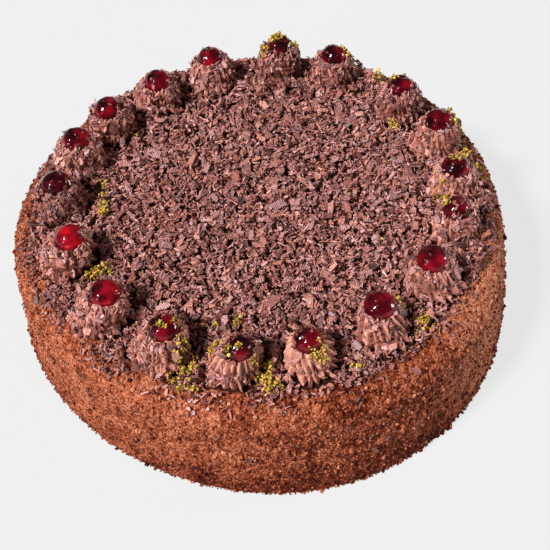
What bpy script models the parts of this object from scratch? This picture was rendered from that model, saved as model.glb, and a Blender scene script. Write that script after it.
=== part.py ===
"""Round chocolate cake: a crumb-coated body, a bed of shavings on top, and a
ring of piped cream rosettes that each hold a cherry.

Metres, +Z up. The cake stands on z = 0 with its outline centred on the origin.
"""

import math

import bmesh
import bpy
from mathutils import Vector

MM = 0.001

# Body of the cake
BODY_BASE_R = 140.1      # widest, just above the foot
BODY_WALL_R = 135.0      # under the shoulder
BODY_H = 60.5            # flat top
BODY_FOOT = 1.5          # small round at the foot
SHOULDER_R = 13.8        # round between wall and top
BODY_SEGMENTS = 56
SHOULDER_STEPS = 3
OUTLINE_2 = (-0.0074, -0.0068)   # how far the outline is from round: cos, sin of 2 angles
OUTLINE_3 = (-0.0153, 0.0065)    # and of 3 angles

# Bed of shavings
GAP = 0.3                # between pieces that touch
BED_R = 117.5
BED_MIDDLE = 4.2         # thickness in the middle
BED_EDGE = 1.6           # thickness at its edge
BED_UNEVEN = 0.55
BED_SEGMENTS = 42
BED_ROSETTE_CLEAR = 0.4
CLEARANCE_SIDES = 12

# Rosettes, counted anticlockwise from the back
ROSETTE_RING_R = 106.8
ROSETTE_LIP_R = 13.1
ROSETTE_H = 18.0
ROSETTE_RIDGES = 14
ROSETTE_RIDGE_DEPTH = 0.085
ROSETTE_TWIST = 30.0     # degrees from the top down to the lip
# (height, radius) of its sections, as shares of the height and the lip radius
ROSETTE_PROFILE = ((0.0, 0.90), (0.10, 1.0), (0.38, 0.95), (0.70, 0.85), (1.0, 0.70))

# Cherries
CHERRY_R = 6.9
CHERRY_UP = 18.3         # centre above the rosette's foot
CHERRY_SEGMENTS = 10
CHERRY_RINGS = 5

# For each rosette: where it was piped, in degrees from +X; how far its cherry sits
# outward and anticlockwise of the rosette's foot, in mm; and its share of the usual size
PLACES = (
    (101.0, 0.5, 0.0, 1.00), (120.5, -4.5, 0.0, 1.00), (138.5, -2.0, 2.5, 1.00),
    (157.0, 0.0, -3.0, 1.00), (174.0, 0.0, -0.5, 1.00), (194.5, -6.0, 3.0, 1.05),
    (218.5, -4.5, 3.0, 1.05), (239.5, -3.5, 2.5, 1.07), (259.5, 0.5, 4.0, 0.95),
    (279.5, 0.0, -1.5, 0.95), (300.0, -3.0, 0.0, 1.00), (321.5, -2.5, 0.0, 1.00),
    (341.0, -1.5, 0.5, 0.97), (358.5, -2.0, -1.5, 0.97), (377.0, 1.0, 0.5, 1.00),
    (396.5, 0.0, -1.0, 1.00), (421.0, 2.0, 1.0, 1.03), (439.5, 4.5, -1.0, 1.03),
)


def outline(angle):
    """Radius of the hand-smoothed body at this angle, as a share of the round one."""
    return (
        1.0
        + OUTLINE_2[0] * math.cos(2 * angle) + OUTLINE_2[1] * math.sin(2 * angle)
        + OUTLINE_3[0] * math.cos(3 * angle) + OUTLINE_3[1] * math.sin(3 * angle)
    )


def vary(piece, trait):
    """A fixed value in -1..1 that differs from piece to piece."""
    return math.sin(12.9898 * (piece + 1) + 37.719 * (trait + 1))


def new_material(name, colour, roughness):
    material = bpy.data.materials.new(name)
    material.use_nodes = True
    shader = material.node_tree.nodes["Principled BSDF"]
    shader.inputs["Base Color"].default_value = (*colour, 1.0)
    shader.inputs["Roughness"].default_value = roughness
    shader.inputs["Metallic"].default_value = 0.0
    material.diffuse_color = (*colour, 1.0)
    return material


def new_object(name, mesh, collection, material=None):
    obj = bpy.data.objects.new(name, mesh)
    collection.objects.link(obj)
    if material:
        mesh.materials.append(material)
    return obj


def mesh_from(name, bm, smooth_angle=None):
    bmesh.ops.recalc_face_normals(bm, faces=bm.faces)
    mesh = bpy.data.meshes.new(name)
    bm.to_mesh(mesh)
    bm.free()
    if smooth_angle is not None:
        mesh.shade_smooth()
        mesh.set_sharp_from_angle(angle=math.radians(smooth_angle))
    return mesh


def turned_mesh(name, profile, steps, collection):
    """The solid that a Screw modifier turns from an (r, z) profile in mm, as a plain mesh."""
    bm = bmesh.new()
    points = [bm.verts.new((r * MM, 0.0, z * MM)) for r, z in profile]
    for a, b in zip(points, points[1:]):
        bm.edges.new((a, b))
    mesh = bpy.data.meshes.new(name + "_profile")
    bm.to_mesh(mesh)
    bm.free()
    obj = bpy.data.objects.new(name + "_profile", mesh)
    collection.objects.link(obj)
    screw = obj.modifiers.new("Turn", "SCREW")
    screw.axis = "Z"
    screw.angle = 2 * math.pi
    screw.steps = steps
    screw.render_steps = steps
    screw.use_merge_vertices = True
    screw.merge_threshold = 0.00005
    screw.use_smooth_shade = True
    graph = bpy.context.evaluated_depsgraph_get()
    turned = bpy.data.meshes.new_from_object(obj.evaluated_get(graph))
    bpy.data.objects.remove(obj)
    turned.name = name
    return turned


def body_mesh(helpers):
    profile = [(0.0, BODY_H)]
    for step in range(SHOULDER_STEPS, -1, -1):
        a = step * math.pi / 2 / SHOULDER_STEPS
        profile.append(
            (BODY_WALL_R - SHOULDER_R * (1 - math.cos(a)), BODY_H - SHOULDER_R * (1 - math.sin(a)))
        )
    profile += [
        (BODY_WALL_R + 0.28 * (BODY_BASE_R - BODY_WALL_R), 0.5 * BODY_H),
        (BODY_WALL_R + 0.72 * (BODY_BASE_R - BODY_WALL_R), 0.22 * BODY_H),
        (BODY_BASE_R, BODY_FOOT),
        (BODY_BASE_R - BODY_FOOT, 0.0),
        (0.0, 0.0),
    ]
    mesh = turned_mesh("cake_body", profile, BODY_SEGMENTS, helpers)
    for vert in mesh.vertices:
        angle = math.atan2(vert.co.y, vert.co.x)
        share = outline(angle)
        # the wall was smoothed by hand and waves a little
        height = vert.co.z / (BODY_H * MM)
        wave = 0.0
        if 0.05 < height < 0.97:
            wave = 0.5 * MM * math.sin(5 * angle + 2.0) * math.sin(math.pi * height)
        radius = math.hypot(vert.co.x, vert.co.y)
        if radius > 1e-6:
            scale = share + wave / radius
            vert.co.x *= scale
            vert.co.y *= scale
    return mesh


def bed_mesh(helpers):
    """A thin, uneven mound with a flat underside."""
    shares = (0.24, 0.48, 0.70, 0.88, 0.97)
    top = [(0.0, BED_MIDDLE)]
    top += [(s * BED_R, BED_MIDDLE - (BED_MIDDLE - BED_EDGE) * s ** 3) for s in shares]
    profile = top + [(BED_R, 0.8), (BED_R - 1.0, 0.0), (0.0, 0.0)]
    mesh = turned_mesh("shavings_bed", profile, BED_SEGMENTS, helpers)
    for vert in mesh.vertices:
        x, y, z = (c / MM for c in vert.co)
        if z > 1.0:
            heap = (
                math.sin(0.083 * x + 0.041 * y + 0.7)
                + math.sin(0.061 * y - 0.052 * x + 2.1)
                + 0.7 * math.sin(0.19 * x - 0.13 * y + 4.0)
            )
            vert.co.z += BED_UNEVEN * heap / 2.0 * MM
        vert.co.z += (BODY_H + GAP) * MM
    return mesh


def foot_of(i):
    """Centre of rosette i on the cake's top, in mm."""
    angle = math.radians(PLACES[i][0])
    radius = ROSETTE_RING_R + 0.7 * vary(i, 0)
    return Vector((radius * math.cos(angle), radius * math.sin(angle), BODY_H + GAP))


def cherry_centre(i):
    angle = math.radians(PLACES[i][0])
    out = Vector((math.cos(angle), math.sin(angle), 0.0))
    along = Vector((-math.sin(angle), math.cos(angle), 0.0))
    up = Vector((0.0, 0.0, CHERRY_UP + 0.5 * vary(i, 3)))
    return foot_of(i) + PLACES[i][1] * out + PLACES[i][2] * along + up


def lip_radius(i):
    return ROSETTE_LIP_R * PLACES[i][3] * (1.0 + 0.015 * vary(i, 1))


def clearance_radius(i):
    """Corner radius of the many-sided hole that clears the rosette's widest ridge."""
    return (lip_radius(i) * 1.035 + BED_ROSETTE_CLEAR) / math.cos(math.pi / CLEARANCE_SIDES)


def rosette_mesh(i):
    """Star sections that twist and narrow from the lip up to the cherry, leaning towards it."""
    foot = foot_of(i)
    lean = cherry_centre(i) - foot
    lip = lip_radius(i)
    height = ROSETTE_H + 0.5 * vary(i, 3)
    start = math.pi * vary(i, 4)
    bm = bmesh.new()
    rings = []
    for up, wide in ROSETTE_PROFILE:
        shift = up ** 1.3
        ring = []
        for k in range(2 * ROSETTE_RIDGES):
            angle = start + k * math.pi / ROSETTE_RIDGES + math.radians(ROSETTE_TWIST) * (1 - up)
            depth = ROSETTE_RIDGE_DEPTH * (1.0 if up < 0.9 else 0.7)
            radius = lip * wide * (1.0 - (2 * depth if k % 2 else 0.0))
            # hand-piped, so no section is quite round
            radius *= 1.0 + 0.018 * math.cos(angle - start * 2) + 0.015 * math.cos(2 * angle + start)
            z = up * height
            if 0.05 < up < 0.2:
                z += 0.45 * math.sin(3 * angle + start)
            ring.append(
                bm.verts.new(
                    (
                        (foot.x + lean.x * shift + radius * math.cos(angle)) * MM,
                        (foot.y + lean.y * shift + radius * math.sin(angle)) * MM,
                        (foot.z + z) * MM,
                    )
                )
            )
        rings.append(ring)
    count = 2 * ROSETTE_RIDGES
    for low, high in zip(rings, rings[1:]):
        for k in range(count):
            n = (k + 1) % count
            bm.faces.new((low[k], low[n], high[n], high[k]))
    bm.faces.new(list(reversed(rings[0])))
    bm.faces.new(rings[-1])
    # twisted side faces are split along their ridges, so that each is flat
    bmesh.ops.triangulate(bm, faces=[f for f in bm.faces if len(f.verts) == 4])
    return mesh_from("rosette", bm)


def cherry_mesh(i, grow):
    """A slightly flattened ball; grow is added all round."""
    radius = CHERRY_R * (1.0 + 0.05 * vary(i, 2))
    bm = bmesh.new()
    bmesh.ops.create_uvsphere(
        bm, u_segments=CHERRY_SEGMENTS, v_segments=CHERRY_RINGS, radius=(radius + grow) * MM
    )
    for vert in bm.verts:
        vert.co.z *= 0.95
        vert.co.x *= 1.0 + 0.02 * vary(i, 5)
    return mesh_from("cherry", bm, 60)


def place_cherry(obj, i):
    obj.location = cherry_centre(i) * MM
    obj.rotation_euler = (0.15 * vary(i, 6), 0.15 * vary(i, 7), math.pi * vary(i, 8))


def cut(obj, name, cutters):
    boolean = obj.modifiers.new(name, "BOOLEAN")
    boolean.operation = "DIFFERENCE"
    boolean.solver = "EXACT"
    if isinstance(cutters, bpy.types.Collection):
        boolean.operand_type = "COLLECTION"
        boolean.collection = cutters
    else:
        boolean.object = cutters


def hide(obj):
    obj.hide_render = True
    obj.display_type = "WIRE"


def main():
    for obj in list(bpy.data.objects):
        bpy.data.objects.remove(obj)

    cake = bpy.data.collections.new("chocolate_cake")
    sockets = bpy.data.collections.new("socket_cutters")
    clearances = bpy.data.collections.new("bed_cutters")
    for collection in (cake, sockets, clearances):
        bpy.context.scene.collection.children.link(collection)

    crumb = new_material("crumb_coat", (0.22, 0.085, 0.04), 0.9)
    shavings = new_material("chocolate_shavings", (0.16, 0.08, 0.06), 0.65)
    cream = new_material("chocolate_cream", (0.42, 0.23, 0.17), 0.55)
    fruit = new_material("cherry_flesh", (0.22, 0.008, 0.012), 0.12)

    body = body_mesh(cake)
    xs = [v.co.x for v in body.vertices]
    ys = [v.co.y for v in body.vertices]
    centre = bpy.data.objects.new("cake_centre", None)
    centre.location = (-(min(xs) + max(xs)) / 2, -(min(ys) + max(ys)) / 2, 0.0)
    cake.objects.link(centre)

    body_obj = new_object("cake_body", body, cake, crumb)
    bed_obj = new_object("shavings_bed", bed_mesh(cake), cake, shavings)
    made = [body_obj, bed_obj]

    for i in range(len(PLACES)):
        label = f"{i + 1:02d}"
        rosette = new_object(f"rosette_{label}", rosette_mesh(i), cake, cream)
        cherry = new_object(f"cherry_{label}", cherry_mesh(i, 0.0), cake, fruit)
        place_cherry(cherry, i)

        socket = new_object(f"socket_{label}", cherry_mesh(i, GAP + 0.05), sockets)
        place_cherry(socket, i)
        hide(socket)
        cut(rosette, "Cherry socket", socket)

        bm = bmesh.new()
        bmesh.ops.create_cone(
            bm, cap_ends=True, segments=CLEARANCE_SIDES, depth=20 * MM,
            radius1=clearance_radius(i) * MM, radius2=clearance_radius(i) * MM,
        )
        clearance = new_object(f"clearance_{label}", mesh_from("clearance", bm), clearances)
        clearance.location = (foot_of(i) + Vector((0.0, 0.0, 3.0))) * MM
        hide(clearance)
        made += [rosette, cherry, socket, clearance]

    cut(bed_obj, "Rosette clearances", clearances)
    for obj in made:
        obj.parent = centre


main()
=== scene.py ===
import math

import bpy
import numpy as np
from mathutils import Matrix, Vector


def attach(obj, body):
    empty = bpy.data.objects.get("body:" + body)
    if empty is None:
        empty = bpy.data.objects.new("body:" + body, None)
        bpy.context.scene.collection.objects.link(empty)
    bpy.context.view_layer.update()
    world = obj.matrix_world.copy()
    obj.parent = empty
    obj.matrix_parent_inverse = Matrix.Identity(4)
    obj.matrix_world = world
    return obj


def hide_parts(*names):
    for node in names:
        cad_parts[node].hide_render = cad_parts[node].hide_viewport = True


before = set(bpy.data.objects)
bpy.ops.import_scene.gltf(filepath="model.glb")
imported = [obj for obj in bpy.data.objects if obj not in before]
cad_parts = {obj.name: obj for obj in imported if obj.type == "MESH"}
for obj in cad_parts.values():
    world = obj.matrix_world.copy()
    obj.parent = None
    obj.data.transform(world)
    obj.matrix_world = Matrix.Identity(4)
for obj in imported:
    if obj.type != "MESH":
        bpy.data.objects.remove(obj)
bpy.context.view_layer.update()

# ---------------------------------------------------------------- sizes, in millimetres
BODY_BASE_R = 140.1
BODY_WALL_R = 135.0
BODY_H = 60.5
BODY_FOOT = 1.5
SHOULDER_R = 13.8
TOP_R = BODY_WALL_R - SHOULDER_R
OUTLINE_2 = (-0.0074, -0.0068)
OUTLINE_3 = (-0.0153, 0.0065)
BODY_SEGMENTS = 56
GAP = 0.3
BED_R = 117.5
BED_BOTTOM = 60.8
BED_MIDDLE = 4.2
BED_EDGE = 1.6
RING_R = 106.8
LIP_R = 13.1
ROSETTE_H = 18.0
TWIST = math.radians(30.0)
CHERRY_R = 6.9
CHERRY_UP = 18.3
PLACES = (
    (101.0, 0.5, 0.0, 1.00), (120.5, -4.5, 0.0, 1.00), (138.5, -2.0, 2.5, 1.00),
    (157.0, 0.0, -3.0, 1.00), (174.0, 0.0, -0.5, 1.00), (194.5, -6.0, 3.0, 1.05),
    (218.5, -4.5, 3.0, 1.05), (239.5, -3.5, 2.5, 1.07), (259.5, 0.5, 4.0, 0.95),
    (279.5, 0.0, -1.5, 0.95), (300.0, -3.0, 0.0, 1.00), (321.5, -2.5, 0.0, 1.00),
    (341.0, -1.5, 0.5, 0.97), (358.5, -2.0, -1.5, 0.97), (377.0, 1.0, 0.5, 1.00),
    (396.5, 0.0, -1.0, 1.00), (421.0, 2.0, 1.0, 1.03), (439.5, 4.5, -1.0, 1.03),
)
COUNT = len(PLACES)

# how heavily the shavings dust each rosette, in the order of PLACES
DUSTING = (0.90, 0.95, 1.00, 1.05, 1.15, 0.80, 0.66, 0.62, 0.50, 0.16, 0.40, 0.52, 0.66, 0.70, 0.62, 0.85, 0.90, 0.95)
# small flakes that stick to each cherry
BITS = (5, 7, 7, 7, 12, 2, 4, 30, 46, 60, 6, 8, 20, 20, 10, 10, 26, 34)
# how pale the shavings on each rosette are, and how much paler than usual its ridges
COVER_TONE = (0.59, 0.68, 0.42, 0.57, 0.22, 0.44, 0.44, 0.44, 0.46, 0.46, 0.38, 0.42, 0.44, 0.66, 0.40, 0.20, 0.28, 0.12)
RIDGE_TONE = (0.0, 0.06, -0.13, 0.02, -0.36, 0.02, 0.02, 0.02, 0.08, 0.34, -0.05, 0.0, -0.13, 0.22, -0.13, -0.38, -0.28, -0.48)
# how much wider than a ball each cherry is
CHERRY_WIDE = (1.08, 1.07, 1.08, 1.08, 1.11, 1.10, 1.12, 1.12, 0.98, 1.00, 1.18, 1.19, 1.05, 1.10, 1.11, 1.10, 1.02, 1.07)
# heaps of shavings: angle in degrees, distance from the middle, spread round, spread out, count
HEAPS = (
    (111, 117.5, 6.0, 3.6, 100), (129.5, 119.5, 6.5, 3.6, 150), (148, 120.0, 6.5, 3.6, 160), (165.5, 119.0, 6.0, 3.6, 120),
    (184, 117.5, 4.8, 3.4, 90), (206, 117.5, 5.0, 4.2, 90), (230, 118.5, 5.4, 4.6, 150), (249.5, 113, 3.6, 4.0, 60),
    (269.5, 113, 3.4, 4.0, 50), (290, 112, 3.6, 3.4, 40), (49, 117.5, 5.5, 3.2, 110), (38, 119, 4.5, 2.6, 60),
    (69, 117, 3.6, 3.4, 60), (90, 117, 4.2, 3.4, 70), (23, 117.5, 3.4, 3.0, 150), (8, 118, 4.0, 3.2, 60), (350, 116, 3.6, 3.2, 40),
    (333, 118.5, 5.0, 3.0, 80), (343, 120.5, 6.0, 3.0, 110), (353, 121.0, 5.0, 3.0, 80), (58, 122.5, 5.0, 3.4, 110), (153, 123.0, 6.0, 3.0, 80),
)


def vary(piece, trait):
    return math.sin(12.9898 * (piece + 1) + 37.719 * (trait + 1))


def outline(a):
    return (
        1
        + OUTLINE_2[0] * np.cos(2 * a)
        + OUTLINE_2[1] * np.sin(2 * a)
        + OUTLINE_3[0] * np.cos(3 * a)
        + OUTLINE_3[1] * np.sin(3 * a)
    )


def centre_offset():
    a = np.arange(BODY_SEGMENTS) * 2 * np.pi / BODY_SEGMENTS
    x = BODY_BASE_R * outline(a) * np.cos(a)
    y = BODY_BASE_R * outline(a) * np.sin(a)
    return np.array([-(x.min() + x.max()) / 2, -(y.min() + y.max()) / 2])


SHIFT = centre_offset()


def foot_of(i):
    a = math.radians(PLACES[i][0])
    r = RING_R + 0.7 * vary(i, 0)
    return np.array([r * math.cos(a), r * math.sin(a), BODY_H + GAP])


def cherry_of(i):
    a = math.radians(PLACES[i][0])
    out = np.array([math.cos(a), math.sin(a), 0.0])
    along = np.array([-math.sin(a), math.cos(a), 0.0])
    return (
        foot_of(i)
        + out * PLACES[i][1]
        + along * PLACES[i][2]
        + np.array([0, 0, CHERRY_UP + 0.5 * vary(i, 3)])
    )


# ---------------------------------------------------------------- noise
def lattice(ix, iy, iz, seed):
    h = (ix * 374761393 + iy * 668265263 + iz * 1442695041 + seed * 974634777) & 0xFFFFFFFF
    h = ((h ^ (h >> 13)) * 1274126177) & 0xFFFFFFFF
    h = ((h ^ (h >> 15)) * 2246822519) & 0xFFFFFFFF
    return ((h ^ (h >> 16)) & 0xFFFFFF) / float(0xFFFFFF)


def noise(points, size, seed):
    """Smooth noise from -1 to 1 with features of that size."""
    p = np.asarray(points, float) / size
    i = np.floor(p).astype(np.int64)
    f = p - i
    f = f * f * (3 - 2 * f)
    total = 0.0
    for dx in (0, 1):
        wx = f[:, 0] if dx else 1 - f[:, 0]
        for dy in (0, 1):
            wy = f[:, 1] if dy else 1 - f[:, 1]
            for dz in (0, 1):
                wz = f[:, 2] if dz else 1 - f[:, 2]
                total = total + wx * wy * wz * lattice(i[:, 0] + dx, i[:, 1] + dy, i[:, 2] + dz, seed)
    return total * 2 - 1


def cells(points, size, seed):
    """Distance to the nearest of scattered points, in cells."""
    p = np.asarray(points, float) / size
    i = np.floor(p).astype(np.int64)
    best = np.full(len(p), 9.0)
    for dx in (-1, 0, 1):
        for dy in (-1, 0, 1):
            for dz in (-1, 0, 1):
                jx, jy, jz = i[:, 0] + dx, i[:, 1] + dy, i[:, 2] + dz
                qx = jx + lattice(jx, jy, jz, seed)
                qy = jy + lattice(jx, jy, jz, seed + 17)
                qz = jz + lattice(jx, jy, jz, seed + 31)
                d = (qx - p[:, 0]) ** 2 + (qy - p[:, 1]) ** 2 + (qz - p[:, 2]) ** 2
                best = np.minimum(best, d)
    return np.sqrt(best)


# ---------------------------------------------------------------- meshes
def mesh_object(name, verts, tris, material, smooth=True, values=None, uv=None):
    """verts in millimetres in the cake's own frame, tris as (n, 3)."""
    verts = np.array(verts, float)
    verts[:, 0] += SHIFT[0]
    verts[:, 1] += SHIFT[1]
    tris = np.ascontiguousarray(tris, dtype=np.int32)
    mesh = bpy.data.meshes.new(name)
    mesh.vertices.add(len(verts))
    mesh.vertices.foreach_set("co", (verts * 0.001).astype(np.float32).ravel())
    mesh.loops.add(len(tris) * 3)
    mesh.loops.foreach_set("vertex_index", tris.ravel())
    mesh.polygons.add(len(tris))
    mesh.polygons.foreach_set("loop_start", np.arange(0, len(tris) * 3, 3, dtype=np.int32))
    mesh.update(calc_edges=True)
    mesh.polygons.foreach_set("use_smooth", np.full(len(tris), bool(smooth)))
    for key, data in (values or {}).items():
        attribute = mesh.attributes.new(key, "FLOAT", "POINT")
        attribute.data.foreach_set("value", np.asarray(data, np.float32))
    if uv is not None:
        layer = mesh.uv_layers.new(name="UVMap")
        layer.data.foreach_set("uv", uv[tris.ravel()].astype(np.float32).ravel())
    mesh.validate()
    mesh.materials.append(material)
    obj = bpy.data.objects.new(name, mesh)
    bpy.context.scene.collection.objects.link(obj)
    return obj


def grid_tris(rows, cols, wrap=True):
    """Triangles of a grid of rows x cols points, closed round in the column direction if wrap."""
    r = np.arange(rows - 1)[:, None]
    c = np.arange(cols if wrap else cols - 1)[None, :]
    n = (c + 1) % cols
    a, b = r * cols + c, r * cols + n
    d, e = (r + 1) * cols + c, (r + 1) * cols + n
    one = np.stack([a, b, e], -1).reshape(-1, 3)
    two = np.stack([a, e, d], -1).reshape(-1, 3)
    return np.concatenate([one, two])


# ---------------------------------------------------------------- materials
def new_material(name):
    m = bpy.data.materials.new(name)
    m.use_nodes = True
    tree = m.node_tree
    tree.nodes.clear()
    out = tree.nodes.new("ShaderNodeOutputMaterial")
    shader = tree.nodes.new("ShaderNodeBsdfPrincipled")
    tree.links.new(shader.outputs[0], out.inputs[0])
    return m, tree, shader


def node(tree, kind, **settings):
    n = tree.nodes.new(kind)
    for key, value in settings.items():
        if key.startswith("in_"):
            n.inputs[key[3:].replace("_", " ")].default_value = value
        else:
            setattr(n, key, value)
    return n


def noise_node(tree, coords, scale, detail=3.0, rough=0.55):
    n = node(tree, "ShaderNodeTexNoise")
    n.inputs["Scale"].default_value = scale
    n.inputs["Detail"].default_value = detail
    n.inputs["Roughness"].default_value = rough
    tree.links.new(coords, n.inputs["Vector"])
    return n.outputs["Fac"]


def ramp_node(tree, source, stops):
    n = tree.nodes.new("ShaderNodeValToRGB")
    e = n.color_ramp.elements
    while len(e) > 1:
        e.remove(e[-1])
    e[0].position, e[0].color = stops[0][0], (*stops[0][1], 1)
    for p, c in stops[1:]:
        k = e.new(p)
        k.color = (*c, 1)
    tree.links.new(source, n.inputs["Fac"])
    return n.outputs["Color"]


def maths(tree, operation, a, b=None, clamp=False):
    n = tree.nodes.new("ShaderNodeMath")
    n.operation = operation
    n.use_clamp = clamp
    for k, v in enumerate((a, b)):
        if v is None:
            continue
        if isinstance(v, (int, float)):
            n.inputs[k].default_value = v
        else:
            tree.links.new(v, n.inputs[k])
    return n.outputs[0]


def remap(tree, source, a, b, c, d):
    n = tree.nodes.new("ShaderNodeMapRange")
    n.inputs["From Min"].default_value = a
    n.inputs["From Max"].default_value = b
    n.inputs["To Min"].default_value = c
    n.inputs["To Max"].default_value = d
    tree.links.new(source, n.inputs["Value"])
    return n.outputs["Result"]


def mix_colour(tree, factor, a, b, blend="MIX"):
    n = tree.nodes.new("ShaderNodeMix")
    n.data_type = "RGBA"
    n.blend_type = blend
    for socket, v in ((n.inputs[0], factor), (n.inputs[6], a), (n.inputs[7], b)):
        if isinstance(v, (int, float)):
            socket.default_value = v
        elif isinstance(v, tuple):
            socket.default_value = (*v, 1)
        else:
            tree.links.new(v, socket)
    return n.outputs[2]


def bump_node(tree, height, strength, distance, normal=None):
    n = tree.nodes.new("ShaderNodeBump")
    n.inputs["Strength"].default_value = strength
    n.inputs["Distance"].default_value = distance
    tree.links.new(height, n.inputs["Height"])
    if normal is not None:
        tree.links.new(normal, n.inputs["Normal"])
    return n.outputs["Normal"]


def object_coords(tree):
    return tree.nodes.new("ShaderNodeTexCoord").outputs["Object"]


def attribute_value(tree, name):
    n = tree.nodes.new("ShaderNodeAttribute")
    n.attribute_name = name
    return n.outputs["Fac"]


def crumb_material(name, source, relief_strength=0.9):
    """Toasted chocolate crumb, its colour darker in the pits of the bump pattern as painted shade. source is the
    attribute that holds a piece's shade or the coat's tone, both with painted light and shade in them.
    """
    m, t, s = new_material(name)
    co = object_coords(t)
    fine = noise_node(t, co, 1150, 3, 0.65)
    broad = noise_node(t, co, 60, 2, 0.5)
    mid = noise_node(t, co, 420, 2, 0.6)
    grains = t.nodes.new("ShaderNodeTexVoronoi")
    grains.inputs["Scale"].default_value = 760.0
    grains.inputs["Randomness"].default_value = 1.0
    t.links.new(co, grains.inputs["Vector"])
    mound = remap(t, grains.outputs["Distance"], 0.05, 0.75, 1.0, 0.0)
    height = maths(t, "ADD", maths(t, "MULTIPLY", mound, 0.6), maths(t, "MULTIPLY", fine, 0.5))
    own = attribute_value(t, source)
    level = maths(t, "MULTIPLY", own, 0.66)
    # painted shade: the fine noise and the mounds that drive the bump also make the pits darker and the tops paler
    level = maths(t, "ADD", level, remap(t, fine, 0.3, 0.7, -0.16, 0.20))
    level = maths(t, "ADD", level, remap(t, mound, 0.1, 0.8, -0.14, 0.16))
    level = maths(t, "ADD", level, remap(t, mid, 0.3, 0.7, -0.12, 0.14))
    level = maths(t, "ADD", level, remap(t, broad, 0.35, 0.65, -0.05, 0.05), clamp=True)
    colour = ramp_node(
        t,
        level,
        [
            (0.0, (0.050, 0.0065, 0.003)),
            (0.22, (0.20, 0.035, 0.012)),
            (0.5, (0.460, 0.136, 0.065)),
            (0.75, (0.645, 0.258, 0.148)),
            (1.0, (0.82, 0.45, 0.29)),
        ],
    )
    t.links.new(colour, s.inputs["Base Color"])
    t.links.new(remap(t, mid, 0.3, 0.7, 0.72, 0.92), s.inputs["Roughness"])
    s.inputs["Specular IOR Level"].default_value = 0.1
    t.links.new(bump_node(t, height, relief_strength, 0.0011), s.inputs["Normal"])
    return m


def flake_material(name, ripples=False):
    m, t, s = new_material(name)
    co = object_coords(t)
    own = attribute_value(t, "shade")
    fine = noise_node(t, co, 1300, 3, 0.6)
    mid = noise_node(t, co, 420, 2, 0.5)
    level = maths(t, "ADD", own, remap(t, fine, 0.3, 0.7, -0.14, 0.14))
    level = maths(t, "ADD", level, remap(t, mid, 0.3, 0.7, -0.08, 0.08), clamp=True)
    colour = ramp_node(
        t,
        level,
        [
            (0.0, (0.060, 0.012, 0.009)),
            (0.3, (0.29, 0.096, 0.076)),
            (0.65, (0.55, 0.235, 0.194)),
            (1.0, (0.76, 0.42, 0.365)),
        ],
    )
    warm = mix_colour(t, 1.0, colour, (1.12, 0.96, 0.80), "MULTIPLY")
    cool = mix_colour(t, 1.0, colour, (0.83, 0.98, 1.20), "MULTIPLY")
    colour = mix_colour(t, attribute_value(t, "tint"), cool, warm)
    t.links.new(colour, s.inputs["Base Color"])
    t.links.new(remap(t, mid, 0.3, 0.7, 0.38, 0.58), s.inputs["Roughness"])
    s.inputs["Specular IOR Level"].default_value = 0.45
    if ripples:
        uv = t.nodes.new("ShaderNodeUVMap")
        uv.uv_map = "UVMap"
        wave = t.nodes.new("ShaderNodeTexWave")
        wave.wave_type = "BANDS"
        wave.bands_direction = "X"
        wave.inputs["Scale"].default_value = 0.32
        wave.inputs["Distortion"].default_value = 1.2
        wave.inputs["Detail"].default_value = 1.0
        t.links.new(uv.outputs[0], wave.inputs["Vector"])
        first = bump_node(t, wave.outputs["Fac"], 0.9, 0.00045)
        t.links.new(bump_node(t, fine, 0.35, 0.0003, first), s.inputs["Normal"])
    else:
        t.links.new(bump_node(t, fine, 0.5, 0.0003), s.inputs["Normal"])
    return m


def core_material():
    m, t, s = new_material("painted_shade_under_shavings")
    co = object_coords(t)
    fine = noise_node(t, co, 700, 4, 0.65)
    # painted shade: the surface under the flakes is near black so the gaps between them read as shadow
    colour = ramp_node(t, fine, [(0.3, (0.012, 0.0025, 0.0016)), (0.58, (0.050, 0.012, 0.008)), (0.78, (0.16, 0.050, 0.038))])
    t.links.new(colour, s.inputs["Base Color"])
    t.links.new(remap(t, fine, 0.3, 0.7, 0.7, 0.9), s.inputs["Roughness"])
    s.inputs["Specular IOR Level"].default_value = 0.08
    t.links.new(bump_node(t, fine, 0.9, 0.0012), s.inputs["Normal"])
    return m


def cream_material():
    m, t, s = new_material("chocolate_cream")
    co = object_coords(t)
    # the attribute carries painted shade in the grooves with a ridge tone for each rosette
    own = attribute_value(t, "ridge_tone_and_groove_shade")
    mid = noise_node(t, co, 260, 3, 0.55)
    fine = noise_node(t, co, 1500, 2, 0.5)
    level = maths(t, "ADD", maths(t, "MULTIPLY", own, 0.62), remap(t, mid, 0.3, 0.7, 0.0, 0.38), clamp=True)
    colour = ramp_node(
        t,
        level,
        [
            (0.0, (0.085, 0.020, 0.013)),
            (0.35, (0.34, 0.112, 0.078)),
            (0.7, (0.66, 0.275, 0.195)),
            (1.0, (0.92, 0.50, 0.365)),
        ],
    )
    t.links.new(colour, s.inputs["Base Color"])
    t.links.new(remap(t, mid, 0.3, 0.7, 0.38, 0.6), s.inputs["Roughness"])
    s.inputs["Specular IOR Level"].default_value = 0.45
    s.inputs["Subsurface Weight"].default_value = 0.06
    s.inputs["Subsurface Radius"].default_value = (1.0, 0.5, 0.35)
    s.inputs["Subsurface Scale"].default_value = 0.0012
    both = maths(t, "ADD", maths(t, "MULTIPLY", mid, 0.7), maths(t, "MULTIPLY", fine, 0.3))
    t.links.new(bump_node(t, both, 0.5, 0.0009), s.inputs["Normal"])
    return m


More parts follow.
